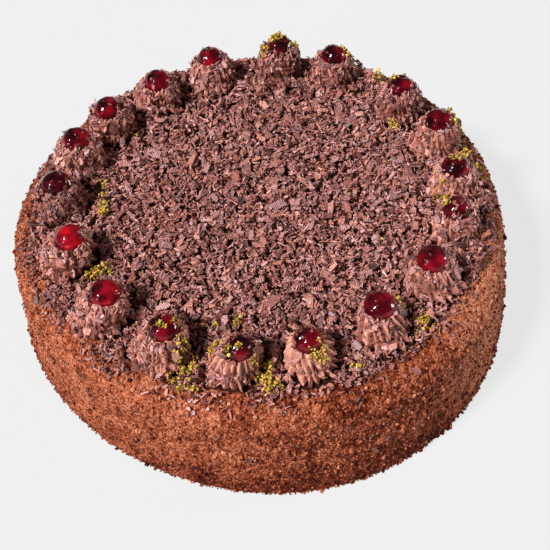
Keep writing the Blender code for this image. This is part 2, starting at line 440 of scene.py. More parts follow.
def cherry_material():
    m, t, s = new_material("cherry_flesh")
    co = object_coords(t)
    broad = noise_node(t, co, 140, 2, 0.5)
    fine = noise_node(t, co, 700, 3, 0.6)
    # the attribute holds a red level for each cherry plus a painted glow on the side away from the key light
    own = attribute_value(t, "tone_and_painted_glow")
    level = maths(t, "ADD", remap(t, broad, 0.38, 0.62, -0.24, 0.26), own)
    level = maths(t, "ADD", level, remap(t, fine, 0.3, 0.7, -0.08, 0.08), clamp=True)
    colour = ramp_node(
        t,
        level,
        [
            (0.0, (0.010, 0.0004, 0.0012)),
            (0.35, (0.075, 0.0006, 0.0045)),
            (0.7, (0.26, 0.0025, 0.010)),
            (1.0, (0.64, 0.004, 0.011)),
        ],
    )
    t.links.new(colour, s.inputs["Base Color"])
    t.links.new(remap(t, fine, 0.3, 0.7, 0.06, 0.16), s.inputs["Roughness"])
    s.inputs["Specular IOR Level"].default_value = 0.3
    s.inputs["Subsurface Weight"].default_value = 0.05
    s.inputs["Subsurface Radius"].default_value = (1.0, 0.1, 0.08)
    s.inputs["Subsurface Scale"].default_value = 0.003
    wrinkle = noise_node(t, co, 330, 2, 0.5)
    both = maths(t, "ADD", maths(t, "MULTIPLY", broad, 0.8), maths(t, "MULTIPLY", wrinkle, 0.5))
    t.links.new(bump_node(t, both, 0.42, 0.0016), s.inputs["Normal"])
    return m


def pistachio_material():
    m, t, s = new_material("pistachio")
    co = object_coords(t)
    own = attribute_value(t, "shade")
    fine = noise_node(t, co, 900, 3, 0.6)
    level = maths(t, "ADD", own, remap(t, fine, 0.3, 0.7, -0.16, 0.16), clamp=True)
    colour = ramp_node(
        t,
        level,
        [
            (0.0, (0.07, 0.042, 0.006)),
            (0.3, (0.25, 0.165, 0.017)),
            (0.65, (0.57, 0.375, 0.042)),
            (1.0, (0.90, 0.68, 0.17)),
        ],
    )
    gold = mix_colour(t, 1.0, colour, (1.10, 0.90, 0.70), "MULTIPLY")
    green = mix_colour(t, 1.0, colour, (0.82, 1.0, 0.9), "MULTIPLY")
    colour = mix_colour(t, attribute_value(t, "tint"), green, gold)
    t.links.new(colour, s.inputs["Base Color"])
    t.links.new(remap(t, fine, 0.3, 0.7, 0.5, 0.75), s.inputs["Roughness"])
    s.inputs["Specular IOR Level"].default_value = 0.35
    t.links.new(bump_node(t, fine, 0.5, 0.0004), s.inputs["Normal"])
    return m


CRUMB = crumb_material("crumb_coat", "painted_light_shade_and_tone")
GRAIN = crumb_material("crumb_grain", "shade", 0.5)
FLAKE = flake_material("shaving")
RIPPLED = flake_material("shaving_rippled", ripples=True)
PAINTED_SHADE_UNDER = core_material()
CREAM = cream_material()
CHERRY = cherry_material()
NUT = pistachio_material()

pieces = []


def part_of(obj, stands_for=None):
    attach(obj, "root")
    if stands_for:
        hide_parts(stands_for)
    pieces.append(obj)
    return obj


# ---------------------------------------------------------------- the body's coat
def profile_rows():
    rows = [(BODY_BASE_R - 3.0, 0.15), (BODY_BASE_R - 0.9, 0.25), (BODY_BASE_R - 0.2, 0.8), (BODY_BASE_R, BODY_FOOT)]
    top = BODY_H - SHOULDER_R
    n = 34
    for k in range(1, n + 1):
        f = k / n
        rows.append((BODY_BASE_R + (BODY_WALL_R - BODY_BASE_R) * f, BODY_FOOT + (top - BODY_FOOT) * f))
    n = 15
    for k in range(1, n + 1):
        a = math.pi / 2 * k / n
        rows.append((TOP_R + SHOULDER_R * math.cos(a), top + SHOULDER_R * math.sin(a)))
    for r in (119.9, 118.6, 117.3, 116.0, 114.0):
        rows.append((r, BODY_H))
    return np.array(rows)


def wall_wave(a, z):
    p = np.stack([40 * np.cos(a), 40 * np.sin(a), z * 0.5], -1)
    return 0.55 * noise(p, 14.0, 5)


def coat_point(a, r, z, lift):
    """Points on the body's outside, with lift millimetres outwards."""
    r, z = np.asarray(r, float), np.asarray(z, float)
    centre_r, centre_z = TOP_R, BODY_H - SHOULDER_R
    dx, dz = r - centre_r, z - centre_z
    n = np.hypot(dx, dz)
    nx = np.where((dz > 0) & (dx > 0), dx / np.maximum(n, 1e-6), np.where(dx > 0, 1.0, 0.0))
    nz = np.where((dz > 0) & (dx > 0), dz / np.maximum(n, 1e-6), np.where(dx > 0, 0.0, 1.0))
    rr = r * outline(a) + nx * (lift + wall_wave(a, z))
    return np.stack([rr * np.cos(a), rr * np.sin(a), np.maximum(z + nz * lift, 0.12)], -1)


def painted_light_and_shade(a, z):
    """Painted light and shade: the crumb is paler towards the right, the front-left and high at the front, where
    light falls, a little darker at the front-right, and darker low down as painted shade, less so at the front-left.
    """
    deg = np.degrees(a) % 360
    pale = 0.44 * np.exp(-(((deg - 322) / 13) ** 2)) + 0.13 * np.exp(-(((deg - 214) / 26) ** 2))
    pale = pale + 0.30 * np.exp(-((((deg + 180) % 360 - 162) / 17) ** 2)) - 0.06 * np.exp(-(((deg - 300) / 22) ** 2))
    pale = pale + 0.10 * np.exp(-(((deg - 248) / 16) ** 2)) * np.clip((z - 34) / 12, 0, 1)
    bottom_shade_share = 1 - 0.6 * np.exp(-(((deg - 222) / 28) ** 2))
    return pale - 0.30 * bottom_shade_share * np.clip((26.0 - z) / 26.0, 0, 1)


def clumps(points):
    """Light and dark patches a few millimetres across in the crumb."""
    return 0.09 * noise(points, 4.2, 150) + 0.13 * noise(points, 2.2, 151) - 0.30 * np.clip(noise(points, 3.0, 152) - 0.42, 0, 1)


def fineness(a):
    """1 where the crumb is coarse, less on the left where it is finer."""
    deg = np.degrees(a) % 360
    return 1 - 0.26 * np.exp(-(((deg - 222) / 30) ** 2))


def build_coat():
    rows = profile_rows()
    cols = 660
    a = np.arange(cols) * 2 * np.pi / cols
    A, R = np.meshgrid(a, rows[:, 0])
    _, Z = np.meshgrid(a, rows[:, 1])
    A, R, Z = A.ravel(), R.ravel(), Z.ravel()
    flat = coat_point(A, R, Z, 0.0)
    dome = 1 - np.clip(cells(flat, 2.3, 3), 0, 1)
    small = 1 - np.clip(cells(flat, 1.5, 8), 0, 1)
    big = noise(flat, 6.0, 21)
    lift = -0.7 + 1.15 * (dome - 0.45) + 0.6 * (small - 0.45) + 0.25 * big + 0.35 * noise(flat, 1.5, 40)
    lift = -0.7 + (lift + 0.7) * fineness(A)
    lift = np.where(Z < 0.4, 0.3 * lift, lift)
    verts = coat_point(A, R, Z, lift)
    tris = grid_tris(len(rows), cols)
    n = len(verts)
    verts = np.concatenate([verts, [[0, 0, 0.12], [0, 0, BODY_H - 0.4]]])
    c = np.arange(cols)
    d = (c + 1) % cols
    bottom = np.stack([np.full(cols, n), d, c], -1)
    last = (len(rows) - 1) * cols
    top = np.stack([np.full(cols, n + 1), last + c, last + d], -1)
    tris = np.concatenate([tris, bottom, top])
    # painted shade and light: raised crumb is paler and pits darker, plus the painted light and shade by side; the
    # clumps are the crumb's own tone
    painted_light_shade_and_tone = np.clip(0.42 + 0.52 * (lift + 0.7) + painted_light_and_shade(A, Z) + clumps(flat), 0, 1)
    painted_light_shade_and_tone = np.concatenate([painted_light_shade_and_tone, [0.3, 0.3]])
    obj = mesh_object("cake_crust", verts, tris, CRUMB, True, {"painted_light_shade_and_tone": painted_light_shade_and_tone})
    return part_of(obj, "cake_body")


def lump_template(faces=20):
    """Corners and triangles of a small crumb before it is made irregular."""
    if faces == 8:
        v = np.array([(1, 0, 0), (-1, 0, 0), (0, 1, 0), (0, -1, 0), (0, 0, 1), (0, 0, -1)], float)
        f = np.array([(0, 2, 4), (2, 1, 4), (1, 3, 4), (3, 0, 4), (2, 0, 5), (1, 2, 5), (3, 1, 5), (0, 3, 5)])
        return v, f
    g = (1 + 5 ** 0.5) / 2
    v = np.array(
        [(-1, g, 0), (1, g, 0), (-1, -g, 0), (1, -g, 0), (0, -1, g), (0, 1, g),
         (0, -1, -g), (0, 1, -g), (g, 0, -1), (g, 0, 1), (-g, 0, -1), (-g, 0, 1)], float)
    v /= np.linalg.norm(v[0])
    f = np.array(
        [(0, 11, 5), (0, 5, 1), (0, 1, 7), (0, 7, 10), (0, 10, 11), (1, 5, 9), (5, 11, 4),
         (11, 10, 2), (10, 7, 6), (7, 1, 8), (3, 9, 4), (3, 4, 2), (3, 2, 6), (3, 6, 8),
         (3, 8, 9), (4, 9, 5), (2, 4, 11), (6, 2, 10), (8, 6, 7), (9, 8, 1)])
    return v, f


def random_turns(rng, n):
    q = rng.normal(size=(n, 4))
    q /= np.linalg.norm(q, axis=1, keepdims=True)
    w, x, y, z = q.T
    return np.stack(
        [
            np.stack([1 - 2 * (y * y + z * z), 2 * (x * y - z * w), 2 * (x * z + y * w)], -1),
            np.stack([2 * (x * y + z * w), 1 - 2 * (x * x + z * z), 2 * (y * z - x * w)], -1),
            np.stack([2 * (x * z - y * w), 2 * (y * z + x * w), 1 - 2 * (x * x + y * y)], -1),
        ],
        1,
    )


def lumps(rng, centres, sizes, rough=0.28, flat=0.35, faces=20):
    """Irregular crumbs: verts, tris. sizes are widths."""
    v, f = lump_template(faces)
    n, k = len(centres), len(v)
    shape = v[None] * (1 + rough * rng.uniform(-1, 1, (n, k, 1)))
    shape = shape * (1 - flat * rng.uniform(0, 1, (n, 1, 3)))
    shape = np.einsum("nij,nkj->nki", random_turns(rng, n), shape)
    verts = centres[:, None] + shape * (sizes[:, None, None] / 2)
    tris = f[None] + (np.arange(n) * k)[:, None, None]
    return verts.reshape(-1, 3), tris.reshape(-1, 3)


def wall_spots(rng, n, low_share):
    """Places on the wall and the shoulder: angle, radius, height and whether the place is at the foot."""
    a = rng.uniform(0, 2 * np.pi, n)
    wall = BODY_H - SHOULDER_R
    s = rng.uniform(0, wall + SHOULDER_R * np.pi / 2, n)
    low = rng.uniform(0, 1, n) < low_share
    s = np.where(low, rng.uniform(0, 2.2, n), s)
    on_arc = np.clip((s - wall) / SHOULDER_R, 0, np.pi / 2)
    f = np.clip((s - BODY_FOOT) / (wall - BODY_FOOT), 0, 1)
    r = np.where(s > wall, TOP_R + SHOULDER_R * np.cos(on_arc), BODY_BASE_R + (BODY_WALL_R - BODY_BASE_R) * f)
    z = np.where(s > wall, wall + SHOULDER_R * np.sin(on_arc), s)
    return a, r, z, low


def build_crumbs(name, seed, n, middle, spread, limits, low_share, faces, dark_share):
    rng = np.random.default_rng(seed)
    a, r, z, low = wall_spots(rng, n, low_share)
    size = np.clip(rng.lognormal(math.log(middle), spread, n), *limits) * fineness(a)
    centres = coat_point(a, r, np.maximum(z, 0.0), size * rng.uniform(0.02, 0.42, n) - 0.75)
    centres[:, 2] = np.maximum(centres[:, 2], size * 0.5)
    verts, tris = lumps(rng, centres, size, 0.32, 0.4, faces)
    verts[:, 2] = np.maximum(verts[:, 2], 0.05)
    # each crumb also takes the painted light and shade by side and height
    shade = np.clip(rng.normal(0.55, 0.22, n) + painted_light_and_shade(a, z) + 1.2 * clumps(centres), 0.02, 1.0)
    dark = rng.uniform(0, 1, n) < dark_share
    shade = np.where(dark, rng.uniform(0.0, 0.1, n), shade)
    obj = mesh_object(name, verts, tris, GRAIN, False, {"shade": np.repeat(shade, len(verts) // n)})
    return part_of(obj)


# ---------------------------------------------------------------- rosettes and cherries
PROFILE = np.array([
    (0.86, 0.000, 0.45), (0.95, 0.030, 0.9), (1.01, 0.085, 1.1), (1.02, 0.150, 1.15),
    (0.985, 0.240, 1.05), (0.935, 0.330, 1.0), (0.885, 0.410, 0.9), (0.905, 0.480, 1.0),
    (0.905, 0.560, 1.05), (0.875, 0.660, 1.0), (0.825, 0.760, 0.95), (0.755, 0.860, 0.85),
    (0.685, 0.930, 0.7), (0.615, 0.980, 0.5), (0.565, 0.990, 0.3), (0.525, 0.955, 0.12),
    (0.495, 0.890, 0.04), (0.42, 0.770, 0.0), (0.22, 0.640, 0.0),
])


def rosette_mesh(i):
    rng = np.random.default_rng(300 + i)
    n = (18, 19, 20)[int(rng.integers(0, 3))]
    cols = n * 7
    # rows spaced by length along the profile
    step = np.hypot(np.diff(PROFILE[:, 0]) * LIP_R, np.diff(PROFILE[:, 1]) * ROSETTE_H)
    run = np.concatenate([[0], np.cumsum(step)])
    rows = 25
    s = np.linspace(0, run[-1], rows)
    share = np.interp(s, run, PROFILE[:, 0])
    up = np.interp(s, run, PROFILE[:, 1])
    amp = np.interp(s, run, PROFILE[:, 2])
    lip = LIP_R * PLACES[i][3] * (1 + 0.015 * vary(i, 1))
    tall = ROSETTE_H + 0.5 * vary(i, 3)
    start = math.pi * vary(i, 4)
    a = np.arange(cols) * 2 * np.pi / cols
    A, SHARE = np.meshgrid(a, share)
    _, UP = np.meshgrid(a, up)
    _, AMP = np.meshgrid(a, amp)
    seam = 0.43 + 0.10 * np.sin(A + rng.uniform(0, 6.28)) + 0.03 * np.sin(3 * A + rng.uniform(0, 6.28))
    tier = 1 / (1 + np.exp(-(UP - seam) / 0.018))
    twist = TWIST * (1 - UP) * (1 - 0.25 * tier) - tier * (0.9 / n) * math.pi
    x = A - start - twist
    x = x + 0.08 * np.sin(3 * A + rng.uniform(0, 6.28)) + 0.055 * np.sin(5 * A + 3 * UP + rng.uniform(0, 6.28)) + 0.03 * np.sin(9 * A - 4 * UP + rng.uniform(0, 6.28))
    ridge = 0.55 * np.abs(np.cos(n * x / 2)) ** 0.8 + 0.45 * np.cos(n * x / 2) ** 4
    which = np.floor(n * x / (2 * np.pi) + 0.5).astype(int) % n
    lower = rng.uniform(0.45, 1.45, n)[which]
    upper = rng.uniform(0.35, 1.5, n)[which]
    strength = lower * (1 - tier) + upper * tier
    depth = 2.9 * AMP * strength * (1.12 - 0.56 * min(DUSTING[i], 1.0))
    radius = lip * SHARE + depth * (ridge - 0.66)
    reach = rng.uniform(-1.4, 3.1, n)[which]
    radius += reach * ridge ** 2 * np.exp(-(((UP - 0.12) / 0.09) ** 2))
    shelf = np.exp(-(((UP - seam) / 0.05) ** 2))
    radius -= 0.9 * shelf * (0.6 + 0.4 * ridge)
    radius *= 1 + 0.025 * np.cos(2 * A + rng.uniform(0, 6.28)) + 0.012 * np.cos(3 * A + rng.uniform(0, 6.28))
    lean = (cherry_of(i) - foot_of(i))[:2]
    cx = lean[0] * UP ** 1.3
    cy = lean[1] * UP ** 1.3
    z = UP * tall + 0.35 * rng.uniform(-1, 1, n)[which] * ridge * np.sin(np.pi * np.clip(UP, 0, 1))
    z += 0.5 * (ridge - 0.5) * AMP * np.clip((UP - 0.7) / 0.25, 0, 1)
    foot = foot_of(i)
    pts = np.stack([foot[0] + cx + radius * np.cos(A), foot[1] + cy + radius * np.sin(A), foot[2] - 0.1 + z], -1).reshape(-1, 3)
    away = np.stack([np.cos(A), np.sin(A), 0 * A], -1).reshape(-1, 3)
    wrinkle = (0.6 + 0.7 * DUSTING[i]) * noise(pts, 6.0, 30 + i) + 0.66 * noise(pts, 2.6, 60 + i) + 0.28 * noise(pts, 1.2, 90 + i)
    fade = np.clip(AMP.ravel() * 1.4, 0, 1)
    pts = pts + away * (wrinkle * fade)[:, None]
    pts[:, 2] = np.maximum(pts[:, 2], foot[2] - 0.1)
    # painted shade: the grooves between the ridges and the shelf under the upper tier are coloured darker and the
    # crests paler; RIDGE_TONE adds a level for each rosette and the noise adds random darker patches
    ridge_tone_and_groove_shade = np.clip(0.02 + RIDGE_TONE[i] + 0.86 * ridge ** 2.2 * (0.7 + 0.3 * strength) - 0.35 * shelf, 0, 1).ravel()
    ridge_tone_and_groove_shade = np.clip(ridge_tone_and_groove_shade - 0.25 * np.clip(noise(pts, 4.0, 120 + i), 0, 1), 0, 1)
    tris = grid_tris(rows, cols)
    m = len(pts)
    pts = np.concatenate([pts, [[foot[0], foot[1], foot[2] - 0.1], [foot[0] + lean[0], foot[1] + lean[1], foot[2] + 0.6 * tall]]])
    ridge_tone_and_groove_shade = np.concatenate([ridge_tone_and_groove_shade, [0.3, 0.3]])
    c = np.arange(cols)
    d = (c + 1) % cols
    last = (rows - 1) * cols
    tris = np.concatenate([tris, np.stack([np.full(cols, m), d, c], -1), np.stack([np.full(cols, m + 1), last + c, last + d], -1)])
    return pts, tris, ridge_tone_and_groove_shade


def cherry_mesh(i):
    rng = np.random.default_rng(700 + i)
    rows, cols = 19, 32
    v = np.linspace(0, np.pi, rows)[1:-1]
    a = np.arange(cols) * 2 * np.pi / cols
    A, V = np.meshgrid(a, v)
    d = np.stack([np.sin(V) * np.cos(A), np.sin(V) * np.sin(A), np.cos(V)], -1).reshape(-1, 3)
    d = np.concatenate([d, [[0, 0, 1], [0, 0, -1]]])
    r = CHERRY_R * (1 + 0.05 * vary(i, 2))
    shape = 1 + 0.035 * noise(d * 3 + 7 * i, 1.6, 4) + 0.02 * noise(d * 3 + 3 * i, 0.8, 9)
    # the little hollow where the stone came out
    if i % 3 != 1:
        t = rng.uniform(0.15, 0.9)
        b = rng.uniform(0, 2 * np.pi)
        hole = np.array([math.sin(t) * math.cos(b), math.sin(t) * math.sin(b), math.cos(t)])
        away = np.arccos(np.clip(d @ hole, -1, 1))
        shape -= 0.16 * np.exp(-((away / 0.26) ** 2))
    # a soft crease
    b = rng.uniform(0, 2 * np.pi)
    side = d @ np.array([math.cos(b), math.sin(b), 0])
    shape -= 0.025 * np.exp(-((side / 0.16) ** 2))
    verts = cherry_of(i) + d * np.array([r * CHERRY_WIDE[i], r * CHERRY_WIDE[i], r * 0.95]) * shape[:, None]
    tris = grid_tris(rows - 2, cols)
    n = (rows - 2) * cols
    c = np.arange(cols)
    e = (c + 1) % cols
    last = (rows - 3) * cols
    tris = tris[:, ::-1]
    tris = np.concatenate([tris, np.stack([np.full(cols, n), c, e], -1), np.stack([np.full(cols, n + 1), last + e, last + c], -1)])
    # painted glow: the colour is made redder low on the side away from the key light, standing in for light that
    # gathers in a translucent cherry
    painted_glow_side = d @ np.array([0.62, -0.2, -0.05])
    redness = (0.40, 0.26, 0.24, 0.22, 0.13, 0.64, 0.36, 0.20, 0.12, 0.16, 0.43, 0.30, 0.14, 0.18, 0.28, 0.26, 0.18, 0.06)[i]
    # a red level for each cherry, the painted glow, and a little more red a bit above the middle
    tone_and_painted_glow = np.clip(redness + 0.36 * painted_glow_side + 0.1 * np.exp(-(((d[:, 2] - 0.35) / 0.3) ** 2)), 0, 1)
    return verts, tris, tone_and_painted_glow


# ---------------------------------------------------------------- the height of what lies on the top
CELL = 0.5
HALF = 150.0
SIDE_CELLS = int(2 * HALF / CELL)
grid_axis = (np.arange(SIDE_CELLS) + 0.5) * CELL - HALF
GX, GY = np.meshgrid(grid_axis, grid_axis)
GR = np.hypot(GX, GY)
GA = np.arctan2(GY, GX)
GK = GR / outline(GA)


def body_height():
    h = np.full(GR.shape, -50.0)
    h = np.where(GK <= TOP_R, BODY_H + 0.2, h)
    shoulder = (GK > TOP_R) & (GK < BODY_WALL_R - 0.3)
    h = np.where(shoulder, BODY_H - SHOULDER_R + np.sqrt(np.maximum(SHOULDER_R ** 2 - (GK - TOP_R) ** 2, 0)) + 0.2, h)
    return h


def rosette_cover():
    """How deep a point of the top lies inside a rosette's foot, 0 outside it, and whose."""
    deep = np.zeros(GR.shape)
    whose = np.full(GR.shape, -1)
    for i in range(COUNT):
        f = foot_of(i)
        lip = LIP_R * PLACES[i][3]
        d = lip - np.hypot(GX - f[0], GY - f[1])
        whose = np.where(d > deep, i, whose)
        deep = np.maximum(deep, d)
    return deep, whose


ROSETTE_DEEP, ROSETTE_WHOSE = rosette_cover()


def bed_top(r):
    t = np.clip(r / BED_R, 0, 1)
    return BED_BOTTOM + BED_EDGE + (BED_MIDDLE - BED_EDGE) * (1 - t ** 2)


def core_height(x, y, r, deep):
    p = np.stack([x, y, 0 * x], -1)
    level = bed_top(r) - 2.6 + 0.55 * noise(p, 9.0, 71) + 0.35 * noise(p, 2.4, 72)
    sink = np.clip(deep / 2.2, 0, 1)
    level = level * (1 - sink) + (BED_BOTTOM - 0.15) * sink
    edge = np.clip((BED_R + 1.0 - r) / 5.0, 0, 1)
    level = (BED_BOTTOM - 0.2) * (1 - edge) + level * edge
    return np.maximum(level, BED_BOTTOM - 0.2)


H = body_height()
inside = GK < BED_R + 1
core_z = np.full(GR.shape, -50.0)
core_z[inside] = core_height(GX[inside], GY[inside], GK[inside], ROSETTE_DEEP[inside] + 0.8 * (ROSETTE_DEEP[inside] > 0))
H = np.maximum(H, core_z)
BARE = H.copy()


def splat(points):
    ix = np.clip(((points[:, 0] + HALF) / CELL).astype(int), 1, SIDE_CELLS - 2)
    iy = np.clip(((points[:, 1] + HALF) / CELL).astype(int), 1, SIDE_CELLS - 2)
    for dx in (-1, 0, 1):
        for dy in (-1, 0, 1):
            drop = 0.25 * (abs(dx) + abs(dy))
            np.maximum.at(H, (iy + dy, ix + dx), points[:, 2] - drop)


CHERRY_COVER = np.zeros(GR.shape)
ROSETTE_SKINS = []
for i in range(COUNT):
    pts, tris, ridge_tone_and_groove_shade = rosette_mesh(i)
    splat(pts)
    facing = np.zeros(pts.shape)
    across = np.cross(pts[tris[:, 1]] - pts[tris[:, 0]], pts[tris[:, 2]] - pts[tris[:, 0]])
    for k in range(3):
        np.add.at(facing, tris[:, k], across)
    facing /= np.maximum(np.linalg.norm(facing, axis=1, keepdims=True), 1e-9)
    ROSETTE_SKINS.append((pts, facing, np.linalg.norm(across, axis=1).mean()))
    part_of(mesh_object("rosette_cream_%02d" % (i + 1), pts, tris, CREAM, True, {"ridge_tone_and_groove_shade": ridge_tone_and_groove_shade}), "rosette_%02d" % (i + 1))
    pts, tris, tone_and_painted_glow = cherry_mesh(i)
    part_of(mesh_object("cherry_fruit_%02d" % (i + 1), pts, tris, CHERRY, True, {"tone_and_painted_glow": tone_and_painted_glow}), "cherry_%02d" % (i + 1))
    c = cherry_of(i)
    r = CHERRY_R * (1 + 0.05 * vary(i, 2))
    d = np.hypot(GX - c[0], GY - c[1]) / r
    top = c[2] + 0.95 * r * np.sqrt(np.maximum(1 - d ** 2, 0))
    H = np.where(d < 1, np.maximum(H, top), H)
    CHERRY_COVER = np.maximum(CHERRY_COVER, np.clip(1 - d, 0, 1))

build_coat()
build_crumbs("side_crumbs", 11, 3300, 1.8, 0.26, (1.2, 3.3), 0.08, 20, 0.14)
build_crumbs("side_crumbs_fine", 12, 13200, 1.2, 0.26, (0.7, 2.0), 0.05, 8, 0.18)


def build_core():
    rings = np.concatenate([[3.0], np.linspace(6, BED_R + 1.0, 60)])
    cols = 190
    a = np.arange(cols) * 2 * np.pi / cols
    A, R = np.meshgrid(a, rings)
    X = (R * outline(A) * np.cos(A)).ravel()
    Y = (R * outline(A) * np.sin(A)).ravel()
    ix = np.clip(((X + HALF) / CELL).astype(int), 0, SIDE_CELLS - 1)
    iy = np.clip(((Y + HALF) / CELL).astype(int), 0, SIDE_CELLS - 1)
    deep = ROSETTE_DEEP[iy, ix]
    Z = core_height(X, Y, R.ravel(), deep + 0.8 * (deep > 0))
    top = np.stack([X, Y, Z], -1)
    base = top[-cols:].copy()
    base[:, 2] = BED_BOTTOM - 0.28
    n = len(top)
    verts = np.concatenate([top, base, [[0, 0, float(Z[:cols].mean())], [0, 0, BED_BOTTOM - 0.28]]])
    tris = grid_tris(len(rings) + 1, cols)[:, ::-1]
    c = np.arange(cols)
    d = (c + 1) % cols
    tris = np.concatenate([tris, np.stack([np.full(cols, n + cols), c, d], -1), np.stack([np.full(cols, n + cols + 1), n + d, n + c], -1)])
    return part_of(mesh_object("shavings_core", verts, tris, PAINTED_SHADE_UNDER, True), "shavings_bed")


build_core()


# ---------------------------------------------------------------- shavings dropped one after another
def weight_map():
    w = np.zeros(GR.shape)
    open_bed = (ROSETTE_DEEP <= 0) & (GK < BED_R)
    w[open_bed] = 1.0
    w[open_bed & (GK > 93)] = 1.35
    on = ROSETTE_DEEP > 0
    dust = np.array(DUSTING)
    w[on] = dust[ROSETTE_WHOSE[on]]
    rim = (GK >= BED_R) & (GK < 133.0) & (ROSETTE_DEEP <= 0)
    deg = np.degrees(GA) % 360
    # the left and the front-left carry more over the shoulder than the right
    left = 0.24 + 0.96 * np.clip(np.cos(np.radians(deg - 188)), 0, 1)
    patchy = 0.55 + 0.75 * noise(np.stack([GX.ravel(), GY.ravel(), 0 * GX.ravel()], -1), 9.0, 55).reshape(GX.shape)
    fall = np.clip((133.0 - GK) / 13.0, 0, 1) ** 1.2
    w[rim] = (left * fall * np.clip(patchy, 0.05, 1.4) + 0.7 * np.clip((124.0 - GK) / 5.0, 0, 1))[rim]
    # two places at the front where the cream's foot and the crumb show
    w = w * np.where(GK > 112.5, 1 - 0.7 * np.exp(-(((deg - 261) / 4.5) ** 2)) - 0.5 * np.exp(-(((deg - 235) / 4.0) ** 2)), 1.0)
    w[CHERRY_COVER > 0.02] = 0.0
    return w


WEIGHT = weight_map()


def sample_grid(nu, nv):
    u, v = np.meshgrid(np.linspace(-1, 1, nu), np.linspace(-1, 1, nv))
    return u.ravel(), v.ravel()


GRIDS = {k: sample_grid(*k) for k in ((3, 3), (5, 3), (7, 3), (9, 5), (17, 9))}


def settle(x, y, yaw, long, wide, thick, lean_u, lean_v, limit=1.25, slack=1.35, sink=0.42):
    """Lays a flat piece on what is under it and adds it to the heights. Returns (z, slope along, slope across) or None."""
    key = (3, 3) if long < 1.6 else (5, 3) if long < 2.6 else (7, 3) if long < 4 and wide < 1.6 else (9, 5) if long < 5.5 else (17, 9)
    gu, gv = GRIDS[key]
    u, v = gu * (long / 2), gv * (wide / 2)
    c, s = math.cos(yaw), math.sin(yaw)
    ix = ((x + c * u - s * v + HALF) / CELL).astype(np.int64)
    iy = ((y + s * u + c * v + HALF) / CELL).astype(np.int64)
    h = H[iy, ix]
    mean = h.mean()
    dh = h - mean
    b = float(np.dot(dh, u) / np.dot(u, u))
    d = float(np.dot(dh, v) / np.dot(v, v))
    if abs(b) > 4.0 or abs(d) > 4.0:
        return None
    b = max(-limit, min(limit, 0.85 * b + lean_u))
    d = max(-limit, min(limit, 0.85 * d + lean_v))
    plane = b * u + d * v
    gap = dh - plane
    high = float(gap.max())
    if high > slack:
        return None
    base = mean + high * (1 - sink)
    H[iy, ix] = np.maximum(h, base + plane + thick)
    return base + thick / 2, b, d


def scatter(rng, count, sizes, lean, weights=None, tries=3, **options):
    """Drops pieces until count of them have found a place. Returns an array with a row for each."""
    w = (WEIGHT if weights is None else weights).ravel()
    flat = np.flatnonzero(w > 0)
    share = w[flat] / w[flat].sum()
    rows = []
    for _ in range(tries):
        n = int((count - len(rows)) * 1.5) + 8
        long, wide, thick = sizes(rng, n)
        pick = rng.choice(flat, size=n, p=share)
        xs = GX.ravel()[pick] + rng.uniform(-0.25, 0.25, n)
        ys = GY.ravel()[pick] + rng.uniform(-0.25, 0.25, n)
        yaws = rng.uniform(0, 2 * np.pi, n)
        lu = np.tan(np.radians(np.clip(rng.normal(0, lean, n), -70, 70)))
        lv = np.tan(np.radians(np.clip(rng.normal(0, lean * 1.25, n), -70, 70)))
        for k in range(n):
            if len(rows) >= count:
                break
            got = settle(xs[k], ys[k], yaws[k], long[k], wide[k], thick[k], lu[k], lv[k], **options)
            if got is not None:
                rows.append((xs[k], ys[k], got[0], yaws[k], got[1], got[2], long[k], wide[k], thick[k]))
        if len(rows) >= count:
            break
    return np.array(rows)


def frames_of(rows):
    """Centre and the three directions of each settled piece."""
    c, s = np.cos(rows[:, 3]), np.sin(rows[:, 3])
    u = np.stack([c, s, rows[:, 4]], -1)
    u /= np.linalg.norm(u, axis=1, keepdims=True)
    v = np.stack([-s, c, rows[:, 5]], -1)
    w = np.cross(u, v)
    w /= np.linalg.norm(w, axis=1, keepdims=True)
    v = np.cross(w, u)
    return rows[:, :3], u, v, w


def place(rows, local):
    """local is (n, k, 3) in each piece's own directions."""
    o, u, v, w = frames_of(rows)
    return (
        o[:, None]
        + local[:, :, 0:1] * u[:, None]
        + local[:, :, 1:2] * v[:, None]
        + local[:, :, 2:3] * w[:, None]
    ).reshape(-1, 3)


def repeat_tris(tris, count, n):
    return (np.asarray(tris)[None] + (np.arange(count) * n)[:, None, None]).reshape(-1, 3)


def prism_tris(k):
    """A closed flat slab with k corners above and k below."""
    out = []
    for j in range(1, k - 1):
        out.append((0, j, j + 1))
        out.append((k, k + j + 1, k + j))
    for j in range(k):
        n = (j + 1) % k
        out.append((j, k + j, k + n))
        out.append((j, k + n, n))
    return np.array(out)


def sliver_mesh(rng, rows):
    n = len(rows)
    L, W, T = rows[:, 6], rows[:, 7], rows[:, 8]
    base = np.array([(-0.5, -0.5), (0.5, -0.5), (0.5, 0.5), (-0.5, 0.5)])
    p = np.repeat(base[None], n, 0)
    taper = rng.uniform(0.25, 1.0, (n, 2))
    p[:, 0, 1] *= taper[:, 0]
    p[:, 3, 1] *= taper[:, 0]
    p[:, 1, 1] *= taper[:, 1]
    p[:, 2, 1] *= taper[:, 1]
    p = p + rng.uniform(-0.10, 0.10, p.shape)
    xy = p * np.stack([L, W], -1)[:, None]
    bend = rng.uniform(-0.2, 0.2, (n, 4)) * (0.5 + 0.25 * L)[:, None]
    top = np.concatenate([xy, (bend + T[:, None] / 2)[..., None]], -1)
    bottom = np.concatenate([xy * 0.96, (bend - T[:, None] / 2)[..., None]], -1)
    local = np.concatenate([top, bottom], 1)
    return place(rows, local), repeat_tris(prism_tris(4), n, 8), 8


